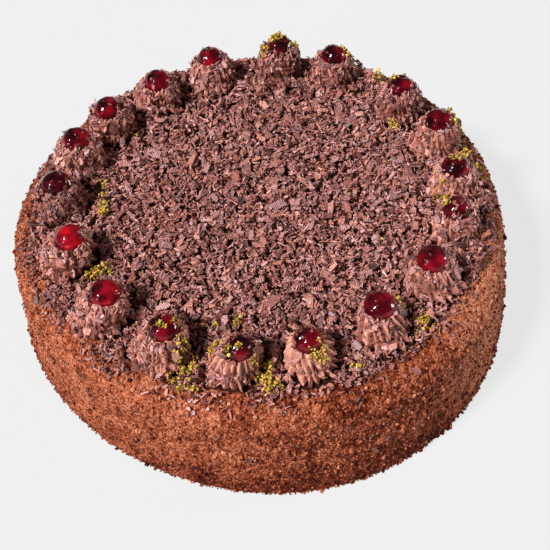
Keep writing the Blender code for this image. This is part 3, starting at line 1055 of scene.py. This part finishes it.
def chip_mesh(rng, rows, k=5):
    n = len(rows)
    L, W, T = rows[:, 6], rows[:, 7], rows[:, 8]
    a = (np.arange(k)[None] + rng.uniform(-0.32, 0.32, (n, k))) * 2 * np.pi / k
    reach = rng.uniform(0.72, 1.18, (n, k))
    xy = np.stack([np.cos(a) * reach * L[:, None] / 2, np.sin(a) * reach * W[:, None] / 2], -1)
    bend = 0.22 * (xy[..., 0] ** 2) / np.maximum(L, 1)[:, None] * rng.uniform(-1, 1, n)[:, None]
    bend = bend + rng.uniform(-0.12, 0.12, (n, k))
    top = np.concatenate([xy, (bend + T[:, None] / 2)[..., None]], -1)
    bottom = np.concatenate([xy * 0.95, (bend - T[:, None] / 2)[..., None]], -1)
    local = np.concatenate([top, bottom], 1)
    return place(rows, local), repeat_tris(prism_tris(k), n, 2 * k), 2 * k


def slab_mesh(rng, rows, nu=6, nv=3):
    """Broad curved flakes, on a grid of nu x nv cells, with broken ends."""
    n = len(rows)
    L, W, T = rows[:, 6], rows[:, 7], rows[:, 8]
    u, v = np.meshgrid(np.linspace(-0.5, 0.5, nu + 1), np.linspace(-0.5, 0.5, nv + 1))
    u, v = u.ravel(), v.ravel()
    k = len(u)
    U = u[None] * (1 + 0 * L[:, None])
    V = v[None] * (1 + 0 * L[:, None])
    skew = rng.uniform(-0.35, 0.35, (n, 1))
    ragged = rng.uniform(-1, 1, (n, k))
    end = np.abs(np.abs(u) - 0.5) < 1e-6
    side = np.abs(np.abs(v) - 0.5) < 1e-6
    U = U + skew * V * (W / L)[:, None] + 0.07 * ragged * end[None]
    V = V * (1 - 0.28 * rng.uniform(0, 1, (n, 1)) * (2 * np.abs(U)) ** 2) + 0.10 * rng.uniform(-1, 1, (n, k)) * side[None]
    x = U * L[:, None]
    y = V * W[:, None]
    curl = rng.uniform(-0.09, 0.16, n) / np.maximum(L, 2)
    z = curl[:, None] * (x ** 2 - (L[:, None] / 2) ** 2 * 0.33) * 2.2
    z = z + 0.10 * np.sin(x * 2 * np.pi / 2.1 + rng.uniform(0, 6.28, (n, 1))) * rng.uniform(0.3, 1, (n, 1))
    z = z + 0.12 * rng.uniform(-1, 1, (n, 1)) * np.sin(V * 5)
    top = np.stack([x, y, z + T[:, None] / 2], -1)
    bottom = np.stack([x * 0.985, y * 0.97, z - T[:, None] / 2], -1)
    local = np.concatenate([top, bottom], 1)
    cols = nu + 1
    face = grid_tris(nv + 1, cols, wrap=False)
    edge = list(range(cols)) + [r * cols + nu for r in range(1, nv + 1)]
    edge += [nv * cols + c for c in range(nu - 1, -1, -1)] + [r * cols for r in range(nv - 1, 0, -1)]
    rim = []
    for j in range(len(edge)):
        a, b = edge[j], edge[(j + 1) % len(edge)]
        rim += [(a, k + a, k + b), (a, k + b, b)]
    tris = np.concatenate([face, face[:, ::-1] + k, np.array(rim)])
    uv = np.concatenate([np.stack([x, y], -1)] * 2, 1).reshape(-1, 2)
    return place(rows, local), repeat_tris(tris, n, 2 * k), 2 * k, uv


def curl_mesh(rng, rows, steps=8):
    """Rolled strips lying on their side: long is the strip's width, wide the roll's diameter."""
    n = len(rows)
    L, D, T = rows[:, 6], rows[:, 7], rows[:, 8]
    span = rng.uniform(2.4, 5.2, n)
    begin = rng.uniform(-0.6, 0.9, n) - span / 2 - np.pi / 2
    t = np.linspace(0, 1, steps + 1)
    ang = begin[:, None] + span[:, None] * t[None]
    spiral = 1 - 0.22 * t[None] * rng.uniform(0, 1, (n, 1))
    R = D[:, None] / 2 * spiral
    drift = rng.uniform(-0.25, 0.25, (n, 1)) * t[None] * L[:, None]
    out = []
    for half in (-0.5, 0.5):
        for thick in (0.5, -0.5):
            rr = R + thick * T[:, None]
            x = half * L[:, None] * (1 - 0.2 * np.abs(t[None] - 0.5)) + drift
            y = rr * np.cos(ang)
            z = rr * np.sin(ang) + D[:, None] * 0.28
            out.append(np.stack([x, y, z], -1))
    local = np.concatenate(out, 1)
    k = steps + 1
    tris = []
    # rails: 0 left outer, 1 left inner, 2 right outer, 3 right inner
    for a, b in ((0, 2), (3, 1), (2, 3), (1, 0)):
        for j in range(steps):
            p, q, r, s = a * k + j, a * k + j + 1, b * k + j + 1, b * k + j
            tris += [(p, q, r), (p, r, s)]
    for j, flip in ((0, False), (steps, True)):
        p, q, r, s = 0 * k + j, 2 * k + j, 3 * k + j, 1 * k + j
        pair = [(p, q, r), (p, r, s)]
        tris += [t[::-1] for t in pair] if flip else pair
    return place(rows, local), repeat_tris(np.array(tris), n, 4 * k), 4 * k


def slivers(rng, n):
    return np.clip(rng.lognormal(math.log(2.6), 0.38, n), 1.1, 6.0), np.clip(rng.lognormal(math.log(0.82), 0.3, n), 0.45, 1.5), rng.uniform(0.28, 0.5, n)


def chips(rng, n):
    long = np.clip(rng.lognormal(math.log(3.0), 0.34, n), 1.5, 5.8)
    return long, long * rng.uniform(0.42, 0.85, n), rng.uniform(0.3, 0.5, n)


def slabs(rng, n):
    long = np.clip(rng.lognormal(math.log(4.7), 0.24, n), 3.4, 8.0)
    return long, np.clip(long * rng.uniform(0.32, 0.68, n), 1.5, 3.8), rng.uniform(0.32, 0.5, n)


def wide_slabs(rng, n):
    long = np.clip(rng.lognormal(math.log(6.6), 0.24, n), 5.0, 11.5)
    return long, np.clip(long * rng.uniform(0.28, 0.56, n), 2.0, 4.6), rng.uniform(0.34, 0.55, n)


def broad_slabs(rng, n):
    long = np.clip(rng.lognormal(math.log(8.6), 0.17, n), 6.8, 12.0)
    return long, np.clip(long * rng.uniform(0.38, 0.62, n), 3.2, 6.0), rng.uniform(0.4, 0.55, n)


def curls(rng, n):
    return rng.uniform(1.1, 3.4, n), rng.uniform(1.0, 2.3, n), rng.uniform(0.22, 0.34, n)


rng = np.random.default_rng(2024)
sliver_rows, chip_rows, slab_rows, curl_rows = [], [], [], []


def heap_map():
    w = np.zeros(GR.shape)
    for deg, r, around, out, count in HEAPS:
        a = math.radians(deg)
        dx, dy = GX - r * math.cos(a), GY - r * math.sin(a)
        u = dx * math.cos(a) + dy * math.sin(a)
        v = -dx * math.sin(a) + dy * math.cos(a)
        w += count / (around * out) * np.exp(-0.5 * ((u / out) ** 2 + (v / around) ** 2))
    w[(CHERRY_COVER > 0.02) | (GK > 131)] = 0
    return w


HEAP_COUNT = sum(h[4] for h in HEAPS)
BROAD = np.where((GK < 115) & (ROSETTE_DEEP < 1.5), WEIGHT, 0.0)
chip_rows.append(scatter(rng, int(HEAP_COUNT * 0.7), chips, 13, heap_map(), limit=1.1, slack=1.45))
sliver_rows.append(scatter(rng, int(HEAP_COUNT * 0.5), slivers, 13, heap_map(), limit=1.1, slack=1.45))
for layer, (nc, ns, nb, nw, nr, lean) in enumerate(
    ((2200, 2000, 110, 10, 60, 12), (2500, 2900, 260, 50, 160, 18), (2600, 3900, 420, 100, 260, 23), (1500, 2300, 330, 70, 300, 25))
):
    chip_rows.append(scatter(rng, nc, chips, lean))
    slab_rows.append(scatter(rng, nb, slabs, lean * 0.5, BROAD, tries=4, slack=1.9))
    curl_rows.append(scatter(rng, nr, curls, lean * 0.6))
    if layer > 1:
        slab_rows.append(scatter(rng, 15, broad_slabs, 5, np.where(GK < 88, WEIGHT, 0.0), tries=8, slack=3.0, sink=0.55))
    sliver_rows.append(scatter(rng, ns, slivers, lean))
    slab_rows.append(scatter(rng, nw, wide_slabs, lean * 0.35, BROAD, tries=6, slack=2.5, sink=0.5))
sliver_rows.append(scatter(rng, 1500, slivers, 26))
chip_rows.append(scatter(rng, 500, chips, 24))
slab_rows.append(scatter(rng, 80, slabs, 9, np.where((GK < 124) & (ROSETTE_DEEP < 1.5), heap_map(), 0.0), tries=4, slack=1.9))
sliver_rows, chip_rows, slab_rows, curl_rows = map(np.concatenate, (sliver_rows, chip_rows, slab_rows, curl_rows))
slab_rows = slab_rows[np.argsort(slab_rows[:, 6])]
SMALL = int(np.searchsorted(slab_rows[:, 6], 5.8))
small_rows, slab_rows = slab_rows[:SMALL], slab_rows[SMALL:]


def shades(rng, n, middle=0.5, spread=0.16):
    """Mostly middling flakes, some nearly black and some pale."""
    kind = rng.uniform(0, 1, n)
    s = rng.normal(middle, spread, n)
    s = np.where(kind < 0.10, rng.uniform(0.0, 0.18, n), s)
    s = np.where(kind > 0.88, rng.normal(middle + 0.2, 0.1, n), s)
    return np.clip(s, 0.0, 1.0)


def tints(rng, n):
    """0 is greyish purple, 1 is orange brown."""
    return np.clip(rng.normal(0.5, 0.17, n) + rng.choice([-0.35, 0, 0, 0.35], n), 0, 1)


def depth_shade(rows):
    """Painted shade: darker the deeper a flake lies under others in the bed. Also darker out on the shoulder, less so
    at the front.
    """
    r = np.hypot(rows[:, 0], rows[:, 1]) / outline(np.arctan2(rows[:, 1], rows[:, 0]))
    ix = ((rows[:, 0] + HALF) / CELL).astype(int)
    iy = ((rows[:, 1] + HALF) / CELL).astype(int)
    under = H[iy, ix] - rows[:, 2]
    front = np.exp(-(((np.degrees(np.arctan2(rows[:, 1], rows[:, 0])) % 360 - 250) / 24) ** 2))
    return -0.16 * np.clip((under - 0.6) / 1.4, 0, 1) - (0.28 - 0.18 * front) * np.clip((r - 117) / 6, 0, 1)


def add_flakes(name, made, rows, material, middle=0.5):
    verts, tris, k = made[:3]
    uv = made[3] if len(made) > 3 else None
    n = len(rows)
    shade = np.clip(shades(rng, n, middle) + depth_shade(rows), 0, 1)
    values = {"shade": np.repeat(shade, k), "tint": np.repeat(tints(rng, n), k)}
    obj = mesh_object(name, verts, tris, material, False, values, uv)
    return part_of(obj)


def stuck_rows():
    """Shavings pressed into the cream of each rosette, as (rows of sizes, centre, three directions)."""
    r_ = np.random.default_rng(404)
    centres, us, vs, ws, sizes = [], [], [], [], []
    for i in range(COUNT):
        pts, facing, _ = ROSETTE_SKINS[i]
        foot, fruit = foot_of(i), cherry_of(i)
        outside = (facing[:, 2] > -0.25) & (pts[:, 2] > foot[2] + 0.8)
        outside &= np.linalg.norm(pts - fruit, axis=1) > CHERRY_R * CHERRY_WIDE[i] + 0.7
        near = np.flatnonzero(outside)
        n = int(370 * DUSTING[i])
        p = 0.35 + np.clip(facing[near, 2], 0, 1)
        pick = r_.choice(near, n, p=p / p.sum())
        w = facing[pick] + r_.normal(0, 0.42, (n, 3))
        w /= np.linalg.norm(w, axis=1, keepdims=True)
        u = np.cross(w, r_.normal(0, 1, (n, 3)))
        u /= np.linalg.norm(u, axis=1, keepdims=True)
        long = np.clip(r_.lognormal(math.log(2.5 + 1.0 * DUSTING[i]), 0.44, n), 1.1, 7.5)
        wide = np.clip(long * r_.uniform(0.3, 0.8, n), 0.5, 3.6)
        thick = r_.uniform(0.28, 0.45, n)
        centres.append(pts[pick] + facing[pick] * (thick / 2 + 0.10 * long)[:, None])
        us.append(u)
        vs.append(np.cross(w, u))
        ws.append(w)
        sizes.append(np.stack([long, wide, thick], -1))
        # a few cling to the cherry
        n = BITS[i]
        turn = r_.uniform(0, 2 * np.pi, 3 * n)
        up = r_.uniform(-0.15, 0.97, 3 * n)
        w = np.stack([np.cos(turn) * np.sqrt(1 - up ** 2), np.sin(turn) * np.sqrt(1 - up ** 2), up], -1)
        turn = math.radians(PLACES[i][0] + 140 * vary(i, 6))
        lean = w @ np.array([0.55 * math.cos(turn), 0.55 * math.sin(turn) + 0.35, 0.45])
        w = w[np.argsort(-lean - r_.uniform(0, 0.55, 3 * n))[:n]]
        centres.append(fruit + w * CHERRY_R * np.array([CHERRY_WIDE[i], CHERRY_WIDE[i], 0.95]) * 1.01)
        w = w + r_.normal(0, 0.3, (n, 3))
        w /= np.linalg.norm(w, axis=1, keepdims=True)
        u = np.cross(w, r_.normal(0, 1, (n, 3)))
        u /= np.linalg.norm(u, axis=1, keepdims=True)
        us.append(u)
        vs.append(np.cross(w, u))
        ws.append(w)
        long = r_.uniform(1.1, 3.0, n)
        sizes.append(np.stack([long, long * r_.uniform(0.3, 0.7, n), r_.uniform(0.28, 0.4, n)], -1))
    return tuple(map(np.concatenate, (centres, us, vs, ws, sizes)))


def stuck_mesh():
    r_ = np.random.default_rng(405)
    o, u, v, w, size = stuck_rows()
    n, k = len(o), 5
    ang = (np.arange(k)[None] + r_.uniform(-0.3, 0.3, (n, k))) * 2 * np.pi / k
    reach = r_.uniform(0.72, 1.18, (n, k))
    x = np.cos(ang) * reach * size[:, :1] / 2
    y = np.sin(ang) * reach * size[:, 1:2] / 2
    bend = r_.uniform(-0.16, 0.16, (n, k))
    verts = []
    for sign in (0.5, -0.5):
        z = bend + sign * size[:, 2:3]
        verts.append(o[:, None] + x[..., None] * u[:, None] + y[..., None] * v[:, None] + z[..., None] * w[:, None])
    fruits = np.array([cherry_of(i) for i in range(COUNT)])
    close = np.min(np.linalg.norm(o[:, None] - fruits[None], axis=2) - CHERRY_R * np.array(CHERRY_WIDE)[None], axis=1) < 0.5
    feet = np.array([foot_of(i) for i in range(COUNT)])[:, :2]
    owner = np.argmin(np.linalg.norm(o[:, None, :2] - feet[None], axis=2), axis=1)
    shade = np.clip((shades(r_, n, 0.44, 0.2) + np.array(COVER_TONE)[owner] - 0.44) * (1 - 0.65 * close), 0, 1)
    tint = np.where(close, 0.9, tints(r_, n))
    values = {"shade": np.repeat(shade, 2 * k), "tint": np.repeat(tint, 2 * k)}
    obj = mesh_object("shavings_on_cream", np.concatenate(verts, 1).reshape(-1, 3), repeat_tris(prism_tris(k), n, 2 * k), FLAKE, False, values)
    return part_of(obj)


stuck_mesh()
add_flakes("shavings_slivers", sliver_mesh(rng, sliver_rows), sliver_rows, FLAKE, 0.585)
add_flakes("shavings_chips", chip_mesh(rng, chip_rows), chip_rows, FLAKE, 0.585)
add_flakes("shavings_flakes", slab_mesh(rng, small_rows, 4, 2), small_rows, RIPPLED, 0.585)
add_flakes("shavings_slabs", slab_mesh(rng, slab_rows, 6, 3), slab_rows, RIPPLED, 0.56)
add_flakes("shavings_curls", curl_mesh(rng, curl_rows), curl_rows, FLAKE, 0.46)
bed_mask = (GK < 92)
print("bed height", round(float(H[bed_mask].mean()), 2), "cad", round(float(bed_top(GK[bed_mask]).mean()), 2), "bare", round(float(BARE[bed_mask].mean()), 2))
print("flakes", len(sliver_rows), len(chip_rows), len(small_rows), len(slab_rows), len(curl_rows))


# ---------------------------------------------------------------- dark flakes caught on the side
def side_flakes():
    r_ = np.random.default_rng(77)
    n = 330
    a = r_.uniform(0, 2 * np.pi, n)
    z = np.clip(BODY_H - SHOULDER_R - np.abs(r_.normal(0, 19, n)) + 6, 1.5, BODY_H - 12)
    f = np.clip((z - BODY_FOOT) / (BODY_H - SHOULDER_R - BODY_FOOT), 0, 1)
    rr = BODY_BASE_R + (BODY_WALL_R - BODY_BASE_R) * f
    p = coat_point(a, rr, z, r_.uniform(0.2, 0.7, n))
    L = np.clip(r_.lognormal(math.log(2.2), 0.35, n), 1.1, 4.5)
    W = L * r_.uniform(0.3, 0.8, n)
    T = r_.uniform(0.3, 0.5, n)
    k = 5
    ang = (np.arange(k)[None] + r_.uniform(-0.3, 0.3, (n, k))) * 2 * np.pi / k
    reach = r_.uniform(0.75, 1.15, (n, k))
    xy = np.stack([np.cos(ang) * reach * L[:, None] / 2, np.sin(ang) * reach * W[:, None] / 2], -1)
    out = np.stack([np.cos(a), np.sin(a), 0.1 + 0 * a], -1)
    out = out + r_.normal(0, 0.28, (n, 3))
    out /= np.linalg.norm(out, axis=1, keepdims=True)
    turn = r_.uniform(0, np.pi, n)
    side = np.stack([-np.sin(a), np.cos(a), 0 * a], -1)
    side -= out * np.sum(side * out, 1, keepdims=True)
    side /= np.linalg.norm(side, axis=1, keepdims=True)
    rise = np.cross(out, side)
    u = side * np.cos(turn)[:, None] + rise * np.sin(turn)[:, None]
    v = np.cross(out, u)
    verts = []
    for sgn in (0.5, -0.5):
        verts.append(p[:, None] + xy[..., 0:1] * u[:, None] + xy[..., 1:2] * v[:, None] + (sgn * T)[:, None, None] * out[:, None])
    verts = np.concatenate(verts, 1).reshape(-1, 3)
    tris = repeat_tris(prism_tris(k), n, 2 * k)
    obj = mesh_object("side_flakes", verts, tris, FLAKE, False, {"shade": np.repeat(r_.uniform(0.0, 0.22, n), 2 * k), "tint": np.repeat(0.5 + 0.5 * tints(r_, n), 2 * k)})
    return part_of(obj)


side_flakes()

# ---------------------------------------------------------------- pistachio crumbs
# x, y, spread across, spread along, turn in degrees, count: millimetres from the middle of the part
NUT_PATCHES = (
    (-82.5, 25.0, 2.6, 3.4, 0, 28), (-82.2, 17.0, 3.0, 3.2, 0, 30), (-81.9, 9.0, 2.6, 3.0, 0, 30), (-81.6, 2.5, 2.4, 1.9, 0, 32),
    (-64.4, 60.4, 2.2, 2.2, 0, 12), (-86.8, -40.4, 2.6, 2.2, 0, 50), (-83.6, -38.4, 3.0, 2.2, 0, 60), (-79.2, -38.0, 2.6, 2.2, 0, 46),
    (-63.0, -74.2, 2.2, 2.2, 0, 12), (-25.5, -79.2, 2.0, 1.5, 0, 24), (-14.8, -80.6, 2.0, 1.6, 0, 30), (-25.0, -97.6, 3.4, 3.0, 0, 76),
    (-18.5, -106.5, 2.0, 2.0, 0, 18), (-13.5, -107.5, 1.8, 1.6, 0, 14), (-40.8, -100.0, 2.0, 3.4, 0, 40), (-37.4, -97.5, 2.2, 3.0, 0, 44),
    (-41.0, -103.6, 2.6, 2.6, 0, 44), (-37.0, -103.6, 2.4, 2.6, 0, 34), (-46.5, -107.4, 2.8, 2.2, 0, 28), (-42.6, -112.4, 2.6, 2.0, 0, 20),
    (-37.5, -113.8, 2.4, 2.0, 0, 24), (25.1, -108.3, 2.2, 2.0, 0, 26), (19.8, -112.3, 2.2, 1.8, 0, 22), (24.6, -112.4, 2.0, 2.0, 0, 26),
    (-0.9, -107.8, 2.0, 2.6, 0, 36), (-6.2, -112.8, 2.4, 2.4, 0, 36), (-1.4, -113.2, 2.6, 2.4, 0, 38), (-1.4, -118.4, 2.8, 1.7, 0, 40),
    (3.4, -118.4, 2.2, 1.6, 0, 14), (40.0, -111.0, 2.6, 2.0, 0, 20), (65.0, -85.5, 2.4, 3.4, 25, 62), (74.9, -90.2, 3.2, 3.0, 0, 56),
    (72.0, -95.0, 2.4, 2.0, 0, 12), (114.5, 40.0, 3.4, 3.4, 0, 100), (114.5, 31.0, 2.8, 3.0, 0, 44), (119.5, 31.5, 2.2, 3.4, 0, 30),
    (117.5, 18.5, 3.0, 2.8, 0, 84), (106.5, -2.5, 2.4, 1.9, 0, 22), (123.0, 11.2, 2.2, 2.6, 0, 18), (126.0, 4.0, 1.8, 2.2, 0, 12),
    (100.2, -13.0, 2.2, 2.4, 0, 20), (96.4, -31.0, 2.2, 2.0, 0, 18), (21.0, 112.0, 4.6, 2.6, 0, 84), (14.0, 108.5, 2.8, 2.4, 0, 50),
    (32.0, 109.5, 2.6, 2.4, 0, 30), (66.0, 98.0, 3.4, 2.8, -30, 36), (80.0, 88.0, 3.6, 2.8, -40, 44), (84.5, 68.0, 2.4, 2.2, 0, 30),
    (83.5, 49.0, 2.2, 2.8, 0, 34), (95.5, -4.0, 1.8, 2.4, 0, 14), (97.0, -11.0, 1.8, 2.4, 0, 14), (62.5, 99.0, 2.6, 2.2, 0, 40), (-42.0, -88.5, 2.2, 2.0, 0, 14), (-48.0, -92.0, 2.4, 2.4, 0, 14),
)
NUT_SINGLES = (
    (-30.8, -79.2, 1.9), (-25.4, -78.7, 2.1), (19.6, -38.3, 2.0), (63.2, -36.4, 2.1), (-60.2, -42.1, 1.7),
    (-60.0, 33.0, 1.2), (-40.0, -60.0, 1.2), (41.0, 52.0, 1.2), (-20.0, 62.0, 1.0), (76.0, 22.0, 1.3),
    (-52.0, -8.0, 1.1), (5.0, -64.0, 1.2), (34.0, -70.0, 1.5), (-71.0, -55.0, 1.4), (-82.0, 3.4, 3.2),
)


def nut_crumbs():
    r_ = np.random.default_rng(5)
    xs, ys, ds = [], [], []
    for x, y, sx, sy, turn, count in NUT_PATCHES:
        c, s = math.cos(math.radians(turn)), math.sin(math.radians(turn))
        count = int(count * 1.8)
        p = r_.normal(0, 1, (count, 2)) * (sx * 0.47, sy * 0.47)
        xs.append(x - SHIFT[0] + c * p[:, 0] - s * p[:, 1])
        ys.append(y - SHIFT[1] + s * p[:, 0] + c * p[:, 1])
        ds.append(np.clip(r_.lognormal(math.log(1.04), 0.38, count), 0.5, 2.5))
    for x, y, d in NUT_SINGLES:
        xs.append([x - SHIFT[0]])
        ys.append([y - SHIFT[1]])
        ds.append([d])
    # a thin dusting of specks wherever the shavings lie near the ring
    n = 170
    a = r_.uniform(0, 2 * np.pi, n)
    rad = r_.normal(100, 13, n)
    keep = (rad > 60) & (rad < 126)
    xs.append((rad * np.cos(a))[keep])
    ys.append((rad * np.sin(a))[keep])
    ds.append(r_.uniform(0.45, 0.95, n)[keep])
    xs, ys, ds = map(np.concatenate, (xs, ys, ds))
    order = r_.permutation(len(xs))
    before = H.copy()
    centres, sizes = [], []
    for k in order:
        x, y, d = xs[k], ys[k], ds[k]
        for step in range(7):
            ix = int((x + HALF) / CELL)
            iy = int((y + HALF) / CELL)
            if not (2 < ix < SIDE_CELLS - 3 and 2 < iy < SIDE_CELLS - 3):
                break
            w = 1 if d < 1.6 else 2
            window = (slice(iy - w + 1, iy + w), slice(ix - w + 1, ix + w))
            ground = float(H[window].max())
            if ground > 40 and ground - float(before[window].max()) < 1.4:
                z = ground + 0.26 * d
                H[window] = np.maximum(H[window], z + 0.2 * d)
                centres.append((x, y, z))
                sizes.append(d)
                break
            # no towers: it rolls a little way off instead
            x, y = x + r_.normal(0, 0.9), y + r_.normal(0, 0.9)
    centres, sizes = np.array(centres), np.array(sizes)
    order = np.argsort(sizes)
    centres, sizes = centres[order], sizes[order]
    small = int(np.searchsorted(sizes, 1.3))
    v1, t1 = lumps(r_, centres[:small], sizes[:small] * 1.1, 0.5, 0.55, 8)
    v2, t2 = lumps(r_, centres[small:], sizes[small:], 0.5, 0.6, 20)
    verts, tris = np.concatenate([v1, v2]), np.concatenate([t1, t2 + len(v1)])
    n = len(sizes)
    corners = np.where(np.arange(n) < small, 6, 12)
    shade = np.repeat(np.clip(r_.normal(0.57, 0.27, n), 0.0, 1), corners)
    tint = np.repeat(np.clip(r_.normal(0.62, 0.3, n), 0, 1), corners)
    obj = mesh_object("pistachio_crumbs", verts, tris, NUT, False, {"shade": shade, "tint": tint})
    print("nuts", n, "of", len(xs))
    return part_of(obj)


nut_crumbs()

# ---------------------------------------------------------------- floor, light and camera
def floor_material():
    m, t, s = new_material("floor")
    co = object_coords(t)
    n = noise_node(t, co, 3, 2, 0.5)
    t.links.new(ramp_node(t, n, [(0.3, (0.085, 0.085, 0.085)), (0.7, (0.088, 0.088, 0.088))]), s.inputs["Base Color"])
    s.inputs["Roughness"].default_value = 0.9
    s.inputs["Specular IOR Level"].default_value = 0.0
    s.inputs["Emission Color"].default_value = (1, 1, 1, 1)
    s.inputs["Emission Strength"].default_value = 0.753
    return m


mesh = bpy.data.meshes.new("floor")
mesh.from_pydata([(-6, -6, 0), (6, -6, 0), (6, 6, 0), (-6, 6, 0)], [], [(0, 1, 2, 3)])
mesh.materials.append(floor_material())
floor = bpy.data.objects.new("floor", mesh)
bpy.context.scene.collection.objects.link(floor)

scene = bpy.context.scene
world = bpy.data.worlds.new("studio")
scene.world = world
world.use_nodes = True
background = world.node_tree.nodes["Background"]
background.inputs[0].default_value = (1.0, 1.0, 1.0, 1)
background.inputs[1].default_value = 0.112


def sun(name, direction, strength, angle, colour=(1, 1, 1)):
    light = bpy.data.lights.new(name, "SUN")
    light.energy = strength
    light.angle = math.radians(angle)
    light.color = colour
    obj = bpy.data.objects.new(name, light)
    obj.rotation_mode = "QUATERNION"
    obj.rotation_quaternion = Vector(direction).to_track_quat("Z", "Y")
    scene.collection.objects.link(obj)
    return obj


def panel(name, direction, distance, size, power, aim=(0, 0, 0.05), colour=(1, 1, 1)):
    light = bpy.data.lights.new(name, "AREA")
    light.shape = "RECTANGLE"
    light.size, light.size_y = size
    light.energy = power
    light.color = colour
    obj = bpy.data.objects.new(name, light)
    d = Vector(direction).normalized()
    obj.location = Vector(aim) + d * distance
    obj.rotation_mode = "QUATERNION"
    obj.rotation_quaternion = d.to_track_quat("Z", "Y")
    scene.collection.objects.link(obj)
    return obj


sun("key", (-0.557, -0.321, 0.766), 4.65, 11)
sun("side_fill", (0.95, 0.16, 0.09), 1.5, 16)
panel("low_fill", (-0.8, -0.57, 0.28), 1.3, (0.16, 0.3), 3.0)

camera_data = bpy.data.cameras.new("camera")
camera_data.sensor_width = 36.0
camera_data.lens = 61.925
camera_data.shift_x = -0.00602
camera_data.shift_y = -0.00529
camera_data.clip_start, camera_data.clip_end = 0.01, 50
camera = bpy.data.objects.new("camera", camera_data)
right = Vector((0.99506319, -0.08435977, -0.05227504))
above = Vector((0.09839152, 0.76970546, 0.63077145))
ahead = Vector((0.01297535, 0.63280087, -0.77420585))
place_at = Vector((SHIFT[0], -353.799 + SHIFT[1], 434.485)) * 0.001
matrix = Matrix.Identity(4)
for k in range(3):
    matrix[k][0], matrix[k][1], matrix[k][2], matrix[k][3] = right[k], above[k], -ahead[k], place_at[k]
camera.matrix_world = matrix
scene.collection.objects.link(camera)
scene.camera = camera
scene.view_settings.view_transform = "Standard"

bpy.context.view_layer.update()
total = sum(len(o.data.polygons) for o in pieces)
print("triangles", total, {o.name: len(o.data.polygons) for o in pieces if len(o.data.polygons) > 9000})
